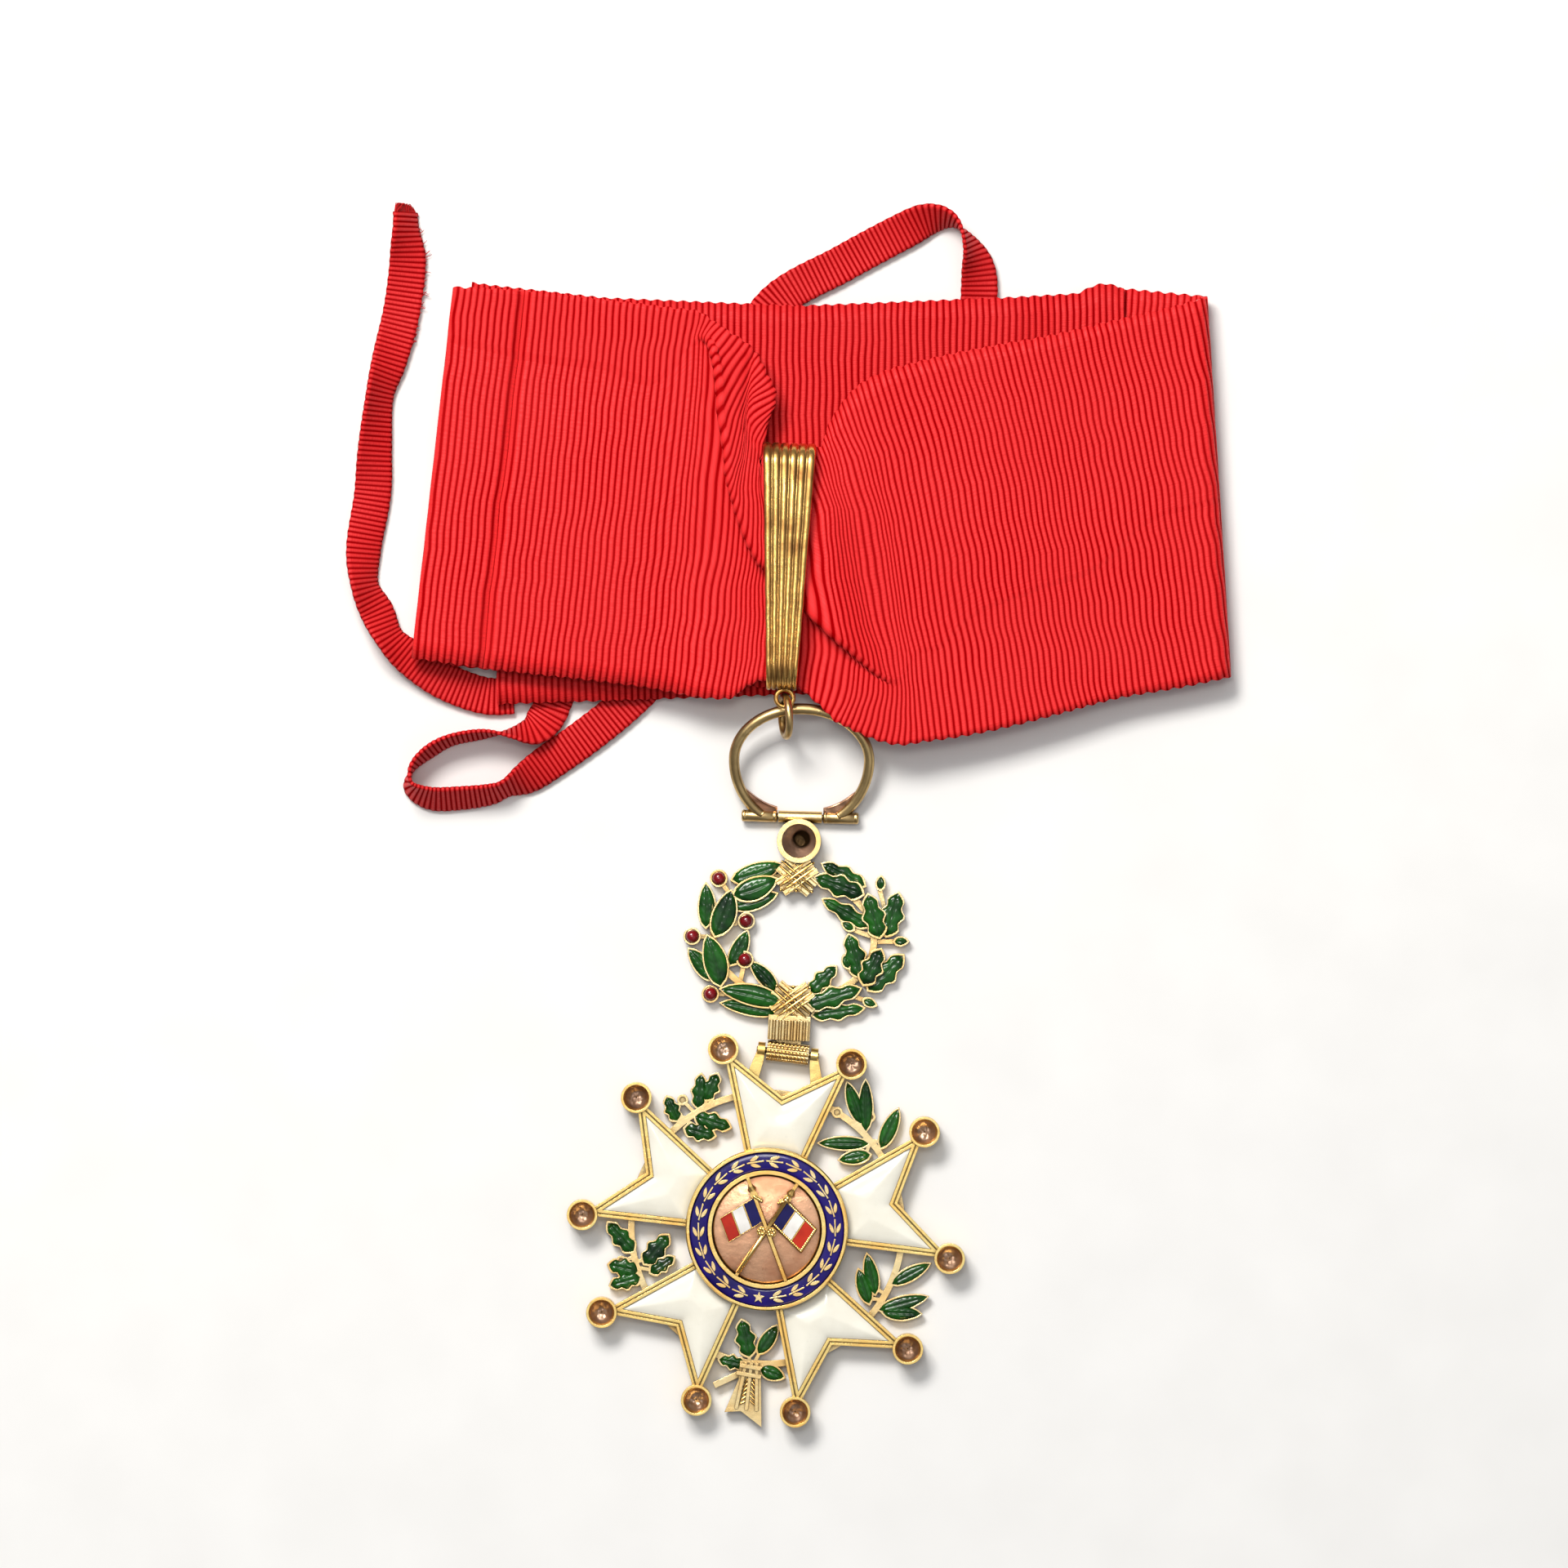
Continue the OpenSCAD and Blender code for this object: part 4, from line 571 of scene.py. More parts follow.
# Ties: right, up and roll as in the CAD part
LEFT_TIE = [(-0.714, -0.336, 0), (-0.793, -0.336, 0), (-0.897, -0.298, 5), (-0.984, -0.239, 20),
    (-1.039, -0.187, 45), (-1.073, -0.118, 30), (-1.105, -0.045, 48), (-1.108, 0.054, 25),
    (-1.086, 0.194, 10), (-1.079, 0.313, 30), (-1.067, 0.45, 48), (-1.041, 0.547, 25), (-1.011, 0.668, 5),
    (-0.994, 0.796, 15), (-0.996, 0.886, 50), (-0.997, 0.934, 55)]
RIGHT_TIE = [(0.5, 0.56, 0), (0.508, 0.68, 0), (0.508, 0.77, 20), (0.49, 0.84, 60), (0.445, 0.905, 100),
    (0.38, 0.915, 140), (0.3, 0.88, 170), (0.15, 0.8, 180), (-0.03, 0.695, 180), (-0.13, 0.52, 180),
    (-0.3, 0.21, 180), (-0.47, -0.1, 180), (-0.595, -0.32, 180), (-0.624, -0.384, 180),
    (-0.66, -0.424, 215), (-0.715, -0.434, 255), (-0.79, -0.438, 280), (-0.878, -0.455, 284),
    (-0.938, -0.488, 286), (-0.98, -0.53, 274), (-0.985, -0.577, 252), (-0.932, -0.606, 236),
    (-0.854, -0.606, 235), (-0.776, -0.597, 240), (-0.731, -0.58, 245), (-0.681, -0.554, 215),
    (-0.62, -0.51, 190), (-0.534, -0.45, 180), (-0.43, -0.367, 180), (-0.317, -0.258, 180)]
TIE_W, TIE_RIB, TIE_STEPS = 5.7, 0.75, 5
TIE_HALF, TIE_RIB_H, TIE_SELVEDGE, TIE_CURL, TIE_LIFT = 0.2, 0.09, 0.08, 0.22, 0.05


def catmull(points, steps):
    p = np.asarray(points, float)
    out = []
    for i in range(len(p) - 1):
        a, b, c, d = p[max(i - 1, 0)], p[i], p[i + 1], p[min(i + 2, len(p) - 1)]
        for t in np.arange(steps) / steps:
            square, cube = (2 * a - 5 * b + 4 * c - d) * t * t, (3 * b - a - 3 * c + d) * t**3
            out.append(0.5 * (2 * b + (c - a) * t + square + cube))
    out.append(p[-1])
    return np.array(out)


def tie(name, rows, node):
    route = catmull(rows, 14)
    at = np.array(BAIL_MID) + route[:, :2] * RIBBON_W
    length = np.concatenate([[0], np.cumsum(np.linalg.norm(np.diff(at, axis=0), axis=1))])
    s = np.arange(0, length[-1], TIE_RIB / TIE_STEPS)
    x, y, roll = (np.interp(s, length, column) for column in (at[:, 0], at[:, 1], route[:, 2]))
    roll = np.radians(roll)[:, None]
    heading = unit(np.gradient(np.stack([x, y], -1), axis=0))
    side = np.stack([-heading[:, 1], heading[:, 0]], -1)
    z = TIE_W / 2 * np.abs(np.sin(roll)) + 0.5 * np.abs(np.cos(roll)) + TIE_LIFT
    wide = np.concatenate([side * np.cos(roll), np.sin(roll)], 1)
    thin = np.concatenate([-side * np.sin(roll), np.cos(roll)], 1)
    cols = 11
    t = np.linspace(-1, 1, cols)
    reach = np.repeat(t[None] * (TIE_W / 2 - 0.1), len(s), 0)
    reach[:, 0] -= loops(s / TIE_RIB, TIE_SELVEDGE)
    reach[:, -1] += loops(s / TIE_RIB, TIE_SELVEDGE)
    curl = TIE_CURL * (t**2 - 0.4)[None] * np.sin(s * 0.12)[:, None]
    centre = np.column_stack([x, y, z])
    grid = centre[:, None] + reach[..., None] * wide[:, None] + curl[..., None] * thin[:, None]
    count = np.repeat(s[:, None] / TIE_RIB, cols, 1)
    piece = cloth(name, grid, ribs(count, 0.8), count, reach, TIE_HALF, TIE_RIB_H, TIE_SILK)
    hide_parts(node)
    return piece, grid


tie_a, grid_a = tie("tie_left_silk", LEFT_TIE, "tie_left")
tie_b, _ = tie("tie_right_silk", RIGHT_TIE, "tie_right")


def tube_faces(rows, sides):
    ends = [list(range(sides))[::-1], list(range((rows - 1) * sides, rows * sides))]
    return grid_faces(rows, sides, close_cols=True).tolist() + ends


# A tube along a path, closed at both ends
def tube(path, radius, sides=6):
    path = np.asarray(path, float)
    radius = np.broadcast_to(radius, len(path))
    along = unit(np.gradient(path, axis=0))
    up = np.where(np.abs(along[:, 2:]) > 0.9, [[1.0, 0, 0]], [[0, 0, 1.0]])
    side = unit(np.cross(along, up))
    top = np.cross(side, along)
    a = circle(sides)
    ring = side[:, None] * np.cos(a)[None, :, None] + top[:, None] * np.sin(a)[None, :, None]
    verts = (path[:, None] + ring * radius[:, None, None]).reshape(-1, 3)
    return verts, [f[::-1] for f in tube_faces(len(path), sides)]


# Frayed end of the left tie: loose threads past its torn edge and along its right side
FRAY_TOP, FRAY_LOW, FRAY_RIB = 155.6, 0.15, 0.7


def thread(threads, path, thick, thin):
    path = [np.array([p[0], min(p[1], FRAY_TOP), max(p[2], FRAY_LOW)]) for p in path]
    verts, faces = tube(path, np.linspace(thick, thin, len(path)), 5)
    threads.add((verts, faces, np.full(len(verts), FRAY_RIB)))


def frayed():
    rng = np.random.default_rng(7)
    threads = Parts()
    end = grid_a[-1]
    way = unit(grid_a[-1, 5] - grid_a[-30, 5])
    for k in range(110):
        share = rng.uniform(0, 1)
        foot = end[0] + (end[-1] - end[0]) * share - way * 0.6
        bend = rng.normal(0, 0.3, 3) + (end[0] + (end[-1] - end[0]) * 0.62 - foot) * 0.45
        long = rng.uniform(0.8, 2.2) * (1.6 - 1.6 * abs(share - 0.62))
        path = [foot + way * long * u + bend * u * u * [1, 1, 0.3] * 1.2 for u in np.linspace(0, 1, 6)]
        thread(threads, path, 0.15, 0.05)
    for k in range(46):
        i = -1 - int(rng.uniform(0, 130))
        foot = grid_a[i, 0] if grid_a[i, 0, 0] > grid_a[i, -1, 0] else grid_a[i, -1]
        out = np.array([rng.uniform(0.3, 1.0), rng.uniform(-0.5, 0.8), rng.uniform(-0.2, 0.3)])
        long = rng.uniform(0.3, 1.3)
        path = [foot + out * long * u + [0, rng.normal(0, 0.05), 0] for u in np.linspace(-0.1, 1, 5)]
        thread(threads, path, 0.07, 0.03)
    return threads.make("frayed_threads", "ribbon_and_ring", "ribbon", TIE_SILK, "rib")


fray = frayed()


# Bail: a strip of round reeds bent to a long loop, with the eye at its foot
BAIL_LOW, BAIL_TILT, BAIL_Z = (2.19078, 81.6597), -2, 7.6
BAIL_BEND, BAIL_T, BAIL_L = 3.1, 1.2, 37.5
BAIL_FOOT_W, BAIL_HEAD_W = 4.6, 8.1
REEDS, PER_REED, REED_H = 6, 8, 0.34
HEAD_DIP, DIP_L = 0.25, 6
EYE, EYE_R, EYE_WIRE = np.array([2.69078, 80.5097, 8.0]), 1.3, 0.72
# Neck over the eye: its place, its flare (place along and radius), and the collar round it
NECK_AT = EYE + [0.1, 1.37, 0]
FLARE = np.array([(0, 0.5), (0.3, 0.52), (0.6, 0.6), (1.0, 0.78), (1.35, 0.86)])
COLLAR_R, COLLAR_WIRE, COLLAR_Y = 0.58, 0.34, 0.25


def ring_mesh(radius, wire, rows=48, cols=14):
    u, v = circle(rows)[:, None], circle(cols)[None]
    r = radius + wire / 2 * np.cos(v)
    grid = np.stack([r * np.cos(u), r * np.sin(u), np.repeat(wire / 2 * np.sin(v), rows, 0)], -1)
    return grid.reshape(-1, 3), grid_faces(rows, cols, True, True)


# The strip's middle line: place along, height and the way that its outer face looks
def bail_line():
    foot = BAIL_BEND + BAIL_T / 2
    straight = BAIL_L - 2 * BAIL_BEND - BAIL_T
    head = foot + straight
    line = []
    for i in range(61):
        y = foot + straight * i / 60
        dip = max(y - head + DIP_L, 0) / DIP_L
        line.append((y, BAIL_BEND - HEAD_DIP * dip**2, 90 - 4.8 * dip))
    for a in np.linspace(82, -90, 22)[:-1]:
        c, s = polar(a)
        line.append((head + BAIL_BEND * c, (BAIL_BEND - (HEAD_DIP if a > 0 else 0)) * s, a))
    line += [(foot + straight * i / 20, -BAIL_BEND, -90) for i in range(20, -1, -1)]
    for a in np.linspace(-90, -270, 22)[1:-1]:
        c, s = BAIL_BEND * polar(a)
        line.append((foot + c, s, a))
    return line


def bail():
    parts = Parts()
    f = np.arange(REEDS * PER_REED + 1) / PER_REED
    bump = np.sqrt(np.maximum(1 - (2 * (f % 1) - 1) ** 2, 0))
    rings = []
    for y, z, a in bail_line():
        w = BAIL_FOOT_W + (BAIL_HEAD_W - BAIL_FOOT_W) * y / BAIL_L
        n = np.array([0, *polar(a)])
        wear = 0.05 * noise.noise(Vector((y * 0.5, a * 0.01, 1.7)))
        outer = [np.array([w * (q / REEDS - 0.5) + wear, y, z]) + n * (BAIL_T / 2 - REED_H + REED_H * b)
            for q, b in zip(f, bump)]
        inner = [np.array([w * (0.5 - k / 6), y, z]) - n * BAIL_T / 2 for k in range(7)]
        rings.append(outer + inner)
    grid = np.array(rings)
    rows, cols = grid.shape[:2]
    grid = turned(grid, BAIL_TILT, BAIL_LOW)
    grid[..., 2] += BAIL_Z
    parts.add((grid.reshape(-1, 3), grid_faces(rows, cols, True, True)))
    parts.add(ring_mesh(EYE_R, EYE_WIRE), shifted(EYE))
    parts.add(tube([NECK_AT + [0, d, 0] for d in FLARE[:, 0]], FLARE[:, 1], 16))
    verts, faces = ring_mesh(COLLAR_R, COLLAR_WIRE, 32, 10)
    parts.add((verts[:, [0, 2, 1]], faces), shifted(NECK_AT + [0, COLLAR_Y, 0]))
    piece = parts.make("bail_reeded", "ribbon_and_ring", "gold", BAIL_GOLD)
    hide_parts("bail")


bail()


# Oval ring: a rounded band on two knuckles, with thin webs in its lower corners
BAR_AT = (5.06131, 62.5116)
BAR_TILT, BAR_Z, RING_RISE = -1.5, 1.1, 16.0
RING_X, RING_MID, RING_UP, RING_DOWN, RING_FOOT = 10.25, 9, 8.05, 10.65, -8.75
RING_HALF_W, RING_HALF_T, RING_STEP = 0.8, 0.88, 0.1
WEB_FOOT, WEB_HEAD, WEB_TOP, WEB_LOW = 0.35, 5.6, 0.32, -0.35
KNUCKLE_R, KNUCKLE_BORE, KNUCKLE_X = 0.9, 0.48, (3.46, 8.9)
# A knuckle's outline from its end: distance and share of its radius
KNUCKLE = [(0, 0.62), (0.05, 0.84), (0.16, 0.96), (0.32, 1.0), (0.55, 1.0), (0.62, 0.93), (0.7, 1.0)]


def capsule(x0, x1, radius, sides=28):
    ends = [(radius * k, x0 + d) for d, k in KNUCKLE] + [(radius * k, x1 - d) for d, k in KNUCKLE[::-1]]
    ends += [(KNUCKLE_BORE, x0), (KNUCKLE_BORE, x1)]
    faces = grid_faces(len(ends) - 2, sides, close_cols=True).tolist()
    n = (len(ends) - 2) * sides
    last = n - sides
    for j in range(sides):
        k = (j + 1) % sides
        faces.append((j, k, n + k, n + j))
        faces.append((last + k, last + j, n + sides + j, n + sides + k))
        faces.append((n + j, n + k, n + sides + k, n + sides + j))
    return revolved(ends, sides)[:, [2, 0, 1]], faces


def ring_centre(a):
    high = RING_UP if sin(a) > 0 else RING_DOWN
    return np.array([RING_X * cos(a), RING_MID + high * sin(a)])


def ring_band():
    first = asin(RING_FOOT / RING_DOWN)
    steps, sides = 150, 20
    q = circle(sides)
    wide = RING_HALF_W * np.sign(np.cos(q)) * np.abs(np.cos(q)) ** 0.8
    deep = RING_HALF_T * np.sign(np.sin(q)) * np.abs(np.sin(q)) ** 0.75
    deep = deep - RING_STEP * ((q > 0.35) & (q < 1.0))
    grid = []
    for a in np.linspace(first, pi - first, steps):
        c = ring_centre(a)
        ahead = ring_centre(a + 0.01) - ring_centre(a - 0.01)
        out = np.array([ahead[1], -ahead[0]]) / np.hypot(*ahead)
        worn = wide * (1 + 0.02 * noise.noise(Vector((a * 3.0, 0.3, 0.9))))
        grid.append(np.column_stack([c[0] + out[0] * worn, c[1] + out[1] * worn, deep]))
    return np.array(grid).reshape(-1, 3), tube_faces(steps, sides)


# A thin crumpled plate between the ring's lower corner and its knuckle
def ring_web(side):
    rows, cols = 15, 8
    flat = []
    for k in range(rows):
        y = WEB_FOOT + (WEB_HEAD - WEB_FOOT) * k / (rows - 1)
        outer = RING_X * sqrt(1 - ((y - RING_MID) / RING_DOWN) ** 2)
        inner = 3.5 + 6.2 * ((max(y - 1.55, 0)) / 4.05) ** 0.62
        flat += [(side * (inner + (outer - inner) * j / (cols - 1)), y) for j in range(cols)]
    flat = np.array(flat)
    foil = 0.14 * field(flat[:, 0], flat[:, 1], 1.6, 1.6, 4.4)
    n = rows * cols
    top = grid_faces(rows, cols)
    top = top if side < 0 else top[:, ::-1]
    walls = [(i * cols + j, (i + 1) * cols + j, (i + 1) * cols + j + n, i * cols + j + n)
        for i in range(rows - 1) for j in (0, cols - 1)]
    walls += [(i * cols + j, i * cols + j + 1, i * cols + j + 1 + n, i * cols + j + n)
        for j in range(cols - 1) for i in (0, rows - 1)]
    verts = np.concatenate([np.column_stack([flat, z]) for z in (WEB_TOP + foil, np.full(n, WEB_LOW))])
    return verts, top.tolist() + walls + (top[:, ::-1] + n).tolist()


def on_bar(verts):
    return turned(verts, BAR_TILT, BAR_AT) + [0, 0, BAR_Z]


def risen(verts):
    return tipped(verts, RING_RISE)


def oval_ring():
    parts, webs = Parts(), Parts()
    parts.add(ring_band(), risen, on_bar)
    for side in (-1, 1):
        webs.add(ring_web(side), risen, on_bar)
        parts.add(capsule(*sorted(side * x for x in KNUCKLE_X), KNUCKLE_R), on_bar)
    webs.make("ring_webs", "ribbon_and_ring", "copper_gilt", COPPER_GILT)
    piece = parts.make("oval_ring", "ribbon_and_ring", "gold", OLIVE_GOLD)
    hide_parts("suspension_ring")


oval_ring()

# Jump ring: hangs a little turned, so that both of its sides show
JUMP_R, JUMP_WIRE, JUMP_TURN, JUMP_LEAN = 3, 1.16, 3, 11
JUMP_DROP, JUMP_HANG = 1.2, 2.7495


def jump_ring():
    (c, s), (up, over) = polar(JUMP_TURN), polar(JUMP_LEAN)
    ahead = np.array([-s, c, 0])
    rise = np.array([over * c, over * s, up])
    centre = EYE - [0, 0, JUMP_DROP] - JUMP_HANG * ahead
    verts, faces = ring_mesh(JUMP_R, JUMP_WIRE, 64, 16)
    verts = centre + verts @ np.array([ahead, rise, np.cross(ahead, rise)])
    piece = make("jump_ring_round", verts, faces, "ribbon_and_ring", OLIVE_GOLD)
    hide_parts("jump_ring")


jump_ring()

# Leaves
STAR_TILT, WREATH_TILT = -6.8, -3.0
WREATH_AT = (4.09571, 44.0869)
WREATH_W, WREATH_H, WREATH_LEAF = 34.9, 25.0, 3.85
CROWN_R, SPRAY_LEAF = 20.6, 3.2
# The enamel keeps this far inside a leaf's outline; levels of the gold rims and heights of the domes
INSIDE = 0.27
FRONT_TOP, REAR_TOP, SPRAY_TOP = 2.1, 1.4, 1.45
FRONT_DOME, REAR_DOME, BUD_DOME = 0.42, 0.3, 0.25
BUD_L, BUD_W = 2.6, 1.6


def on_star(verts, turn=0):
    return turned(verts, turn + STAR_TILT)


def on_wreath(verts):
    return turned(verts, WREATH_TILT, WREATH_AT)


def leaf_side(oak, t, w):
    t = np.clip(t, 0, 1)
    if oak:
        lobes = 1.14 - 0.38 * (0.5 + 0.5 * np.cos(6 * pi * t))
        return w / 2 * np.sin(pi * (0.03 + 0.94 * t**0.85)) ** 0.7 * lobes
    return w / 2 * np.maximum(np.sin(pi * t**0.88), 0) ** 0.68


# A domed leaf of enamel with a midrib and side veins cut into it; top is the level of the gold rim round it
def enamel_leaf(base, tip, w, oak, bow, top, dome):
    base, tip = np.array(base, float), np.array(tip, float)
    rows, cols = 44, 19
    t = (0.5 - 0.5 * np.cos(np.linspace(0, pi, rows)))[:, None]
    s = np.sin(np.linspace(-pi / 2, pi / 2, cols))[None]
    length, w = np.linalg.norm(tip - base) - 3 * INSIDE, w - 2 * INSIDE
    half = leaf_side(oak, t, w) * np.ones_like(s)
    half[0], half[-1] = 0.02, 0.02
    x = 1.5 * INSIDE + length * t * np.ones_like(s)
    side = half * s
    y = bow * 4 * t * (1 - t) + side
    round_up = np.sqrt(np.maximum(1 - np.abs(s) ** 2.4, 0))
    ends = np.minimum(np.minimum(t, 1 - t) * length / 0.9, 1) ** 0.5
    z = top - 0.14 + (dome + 0.14) * round_up * ends * np.minimum(half / (0.3 * w), 1)
    mid = hump(side, 0.16) * ends
    slope = (x - np.abs(side) * (0.9 if oak else 1.2)) / (1.25 if oak else 1.0)
    veins = hump(slope % 1 - 0.5, 0.12) * np.clip(np.abs(side) / 0.3, 0, 1) * (1 - np.abs(s) ** 4) * ends
    z = z - 0.17 * mid - 0.07 * veins
    angle = degrees(atan2(tip[1] - base[1], tip[0] - base[0]))
    grid = turned(np.stack([x, y, z], -1), angle, base)
    low = grid.copy()
    low[..., 2] = top - 0.42
    verts = np.concatenate([grid.reshape(-1, 3), low.reshape(-1, 3)])
    mark = np.clip(0.75 * mid + 0.4 * veins, 0, 1).ravel()
    faces = grid_faces(rows, cols).tolist() + wall_faces(rows, cols)
    return verts, faces, np.concatenate([mark, np.zeros(rows * cols)])


# Wreath leaves: base and tip as shares of half the wreath's width and height, then that of the leaf's width
LAUREL_FRONT = [(-0.56, 0.47, -0.16, 0.72, 0.97), (-0.69, -0.05, -0.56, 0.56, 1),
    (-0.61, -0.65, -0.76, 0, 1), (-0.04, -0.8, -0.63, -0.66, 0.9)]
LAUREL_REAR = [(-0.58, 0.66, -0.13, 0.9, 0.9), (-0.57, 0.33, -0.15, 0.54, 0.75),
    (-0.77, 0.05, -0.79, 0.63, 0.75), (-0.68, -0.58, -0.92, -0.18, 0.75), (-0.55, -0.39, -0.4, 0.08, 0.72),
    (-0.11, -0.68, -0.38, -0.3, 0.68), (-0.1, -0.93, -0.62, -0.83, 0.7)]
OAK_FRONT = [(0.6, 0.57, 0.14, 0.76, 0.88), (0.75, 0.04, 0.62, 0.6, 0.9), (0.62, -0.54, 0.77, -0.06, 0.88),
    (0.12, -0.82, 0.62, -0.56, 0.85)]
OAK_REAR = [(0.61, 0.67, 0.2, 0.93, 0.74), (0.67, 0.18, 0.22, 0.5, 0.72), (0.8, 0.06, 0.89, 0.64, 0.95),
    (0.61, -0.46, 0.47, 0.1, 0.88), (0.66, -0.6, 0.97, -0.12, 0.95), (0.15, -0.67, 0.39, -0.3, 0.74),
    (0.18, -0.93, 0.66, -0.8, 0.68)]
# Buds: base in the same shares and the way that they point
BUDS = [(0.73, 0.62, 90), (0.53, 0.13, 150), (0.86, 0.02, 5), (0.5, -0.35, 115), (0.62, -0.7, -20)]


def wreath_leaves(name, front_rows, rear_rows, oak, node, buds=()):
    parts = Parts()
    scale = np.array([WREATH_W, WREATH_H]) / 2
    for rows, top, dome in ((front_rows, FRONT_TOP, FRONT_DOME), (rear_rows, REAR_TOP, REAR_DOME)):
        for *ends, share in rows:
            w = share * WREATH_LEAF
            base, tip = np.array(ends).reshape(2, 2) * scale
            leaf = enamel_leaf(base, tip, w, oak, 0 if oak else -0.06 * w, top, dome)
            parts.add(leaf, on_wreath)
    for bx, by, turn in buds:
        base = np.array([bx, by]) * scale
        bud = enamel_leaf(base, base + BUD_L * polar(turn), BUD_W, False, 0, REAR_TOP, BUD_DOME)
        parts.add(bud, on_wreath)
    piece = parts.make(name, "wreath", "green_enamel", GREEN, "vein")
    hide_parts(node)


wreath_leaves("laurel_leaves", LAUREL_FRONT, LAUREL_REAR, False, "laurel_enamel")
wreath_leaves("oak_leaves", OAK_FRONT, OAK_REAR, True, "oak_enamel", BUDS)

# Sprays: turn of the gap, then kind (1 is oak), base out, base side, tip out, tip side, width
SPRAYS = [
    (36, [(1, 1.01, 0.02, 1.24, -0.14, 0.8), (1, 1.04, -0.05, 1.18, -0.25, 0.86),
        (1, 0.99, 0.07, 0.77, -0.14, 0.92), (1, 0.95, 0.18, 0.77, -0.01, 0.88),
        (1, 1, 0.19, 1.22, 0.17, 0.8)]),
    (108, [(1, 0.99, -0.01, 1.15, -0.28, 0.95), (1, 0.95, 0.09, 0.71, -0.1, 1),
        (1, 0.92, 0.16, 0.7, 0.07, 0.75), (1, 0.98, 0.13, 1.21, 0.03, 0.98),
        (1, 0.97, 0.17, 1.23, 0.19, 0.85)]),
    (180, [(1, 0.97, -0.01, 0.68, -0.11, 1), (0, 0.94, 0.04, 0.69, 0.17, 0.78),
        (1, 1.02, -0.03, 1, -0.25, 0.75), (0, 1.03, 0.06, 1.08, 0.27, 0.8)]),
    (252, [(0, 0.94, -0.12, 0.74, 0.15, 0.78), (0, 1, 0, 1.21, 0.28, 0.74),
        (0, 0.99, -0.21, 1.3, 0.05, 0.78), (0, 1.02, -0.21, 1.31, -0.09, 0.8),
        (0, 0.93, -0.2, 0.73, 0.02, 0.78)]),
    (324, [(0, 1.03, 0, 1.2, 0.31, 0.78), (0, 1.01, -0.06, 1.31, 0.22, 0.78),
        (0, 0.99, -0.22, 1.32, -0.11, 0.82), (0, 0.98, -0.14, 0.71, 0.16, 0.74),
        (0, 0.93, -0.2, 0.72, -0.04, 0.76)]),
]
parts = Parts()
for gap, rows in SPRAYS:
    for k, (kind, bo, bs, to, ts, share) in enumerate(rows):
        leaf = enamel_leaf((CROWN_R * bo, CROWN_R * bs), (CROWN_R * to, CROWN_R * ts),
            share * SPRAY_LEAF, kind == 1, 0, SPRAY_TOP - 0.03 * k, REAR_DOME)
        parts.add(leaf, lambda verts: on_star(verts, 90 + gap))
sprays = parts.make("spray_leaves", "star", "green_enamel", GREEN, "vein")
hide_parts("spray_enamel")

# White enamel of the arms: crowned by the distance to its border
CUP_REACH, SPREAD, NOTCH, ARM_ROOT, BORDER, MEDAL_D = 28.1, 20.4, 20.2, 1.04, 1.05, 24.6
TIP = CUP_REACH * polar(SPREAD)
ARM_EDGE_Z, ARM_CROWN, ARM_CURVE = 2.93, 0.62, 0.95
ARM_GAP, ARM_STEP = 0.05, 0.26


def inset(points, d):
    p = np.asarray(points, float)
    out = []
    for i in range(len(p)):
        u = p[i] - p[i - 1]
        v = p[(i + 1) % len(p)] - p[i]
        n1 = np.array([-u[1], u[0]]) / np.hypot(*u)
        n2 = np.array([-v[1], v[0]]) / np.hypot(*v)
        out.append(p[i] + d * (n1 + n2) / (1 + n1 @ n2))
    return np.array(out)


# An outline filled with even triangles, at the height that a function gives for each distance to the edge
def filled(outline, step, height):
    outline = np.asarray(outline, float)
    edge = []
    for a, b in zip(outline, np.roll(outline, -1, axis=0)):
        n = max(1, int(np.hypot(*(b - a)) / step))
        edge.extend(a + (b - a) * k / n for k in range(n))
    edge = np.array(edge)
    low, high = edge.min(0), edge.max(0)
    gx, gy = np.meshgrid(*(np.arange(low[i] + step / 2, high[i], step) for i in (0, 1)))
    gx[::2] += step / 2
    pts = np.stack([gx.ravel(), gy.ravel()], -1)
    inside = np.zeros(len(pts), bool)
    for a, b in zip(edge, np.roll(edge, -1, axis=0)):
        hit = (a[1] > pts[:, 1]) != (b[1] > pts[:, 1])
        cross = a[0] + (pts[:, 1] - a[1]) * (b[0] - a[0]) / (b[1] - a[1] + 1e-12)
        inside ^= hit & (pts[:, 0] < cross)
    ring = [tuple(q) for q in edge] + [tuple(edge[0])]
    far = to_line(pts[:, 0], pts[:, 1], ring)
    pts = pts[inside & (far > 0.4 * step)]
    every = [Vector(q) for q in edge] + [Vector(q) for q in pts]
    result = delaunay_2d_cdt(every, [], [list(range(len(edge)))], 1, 1e-6)
    flat = np.array([tuple(v) for v in result[0]])
    return np.column_stack([flat, height(to_line(flat[:, 0], flat[:, 1], ring))]), result[2]


def arm_outline():
    inner = MEDAL_D / 2 - 2
    slope = (TIP[1] - ARM_ROOT) / TIP[0]
    root = ARM_ROOT + slope * inner
    return [(inner, -root), (TIP[0], -TIP[1]), (NOTCH, 0), TIP, (inner, root)]


def arm_crown(far):
    return ARM_EDGE_Z + ARM_CROWN * (1 - np.exp(-far / ARM_CURVE)) + 0.05 * np.clip(far - 1.2, 0, 2)


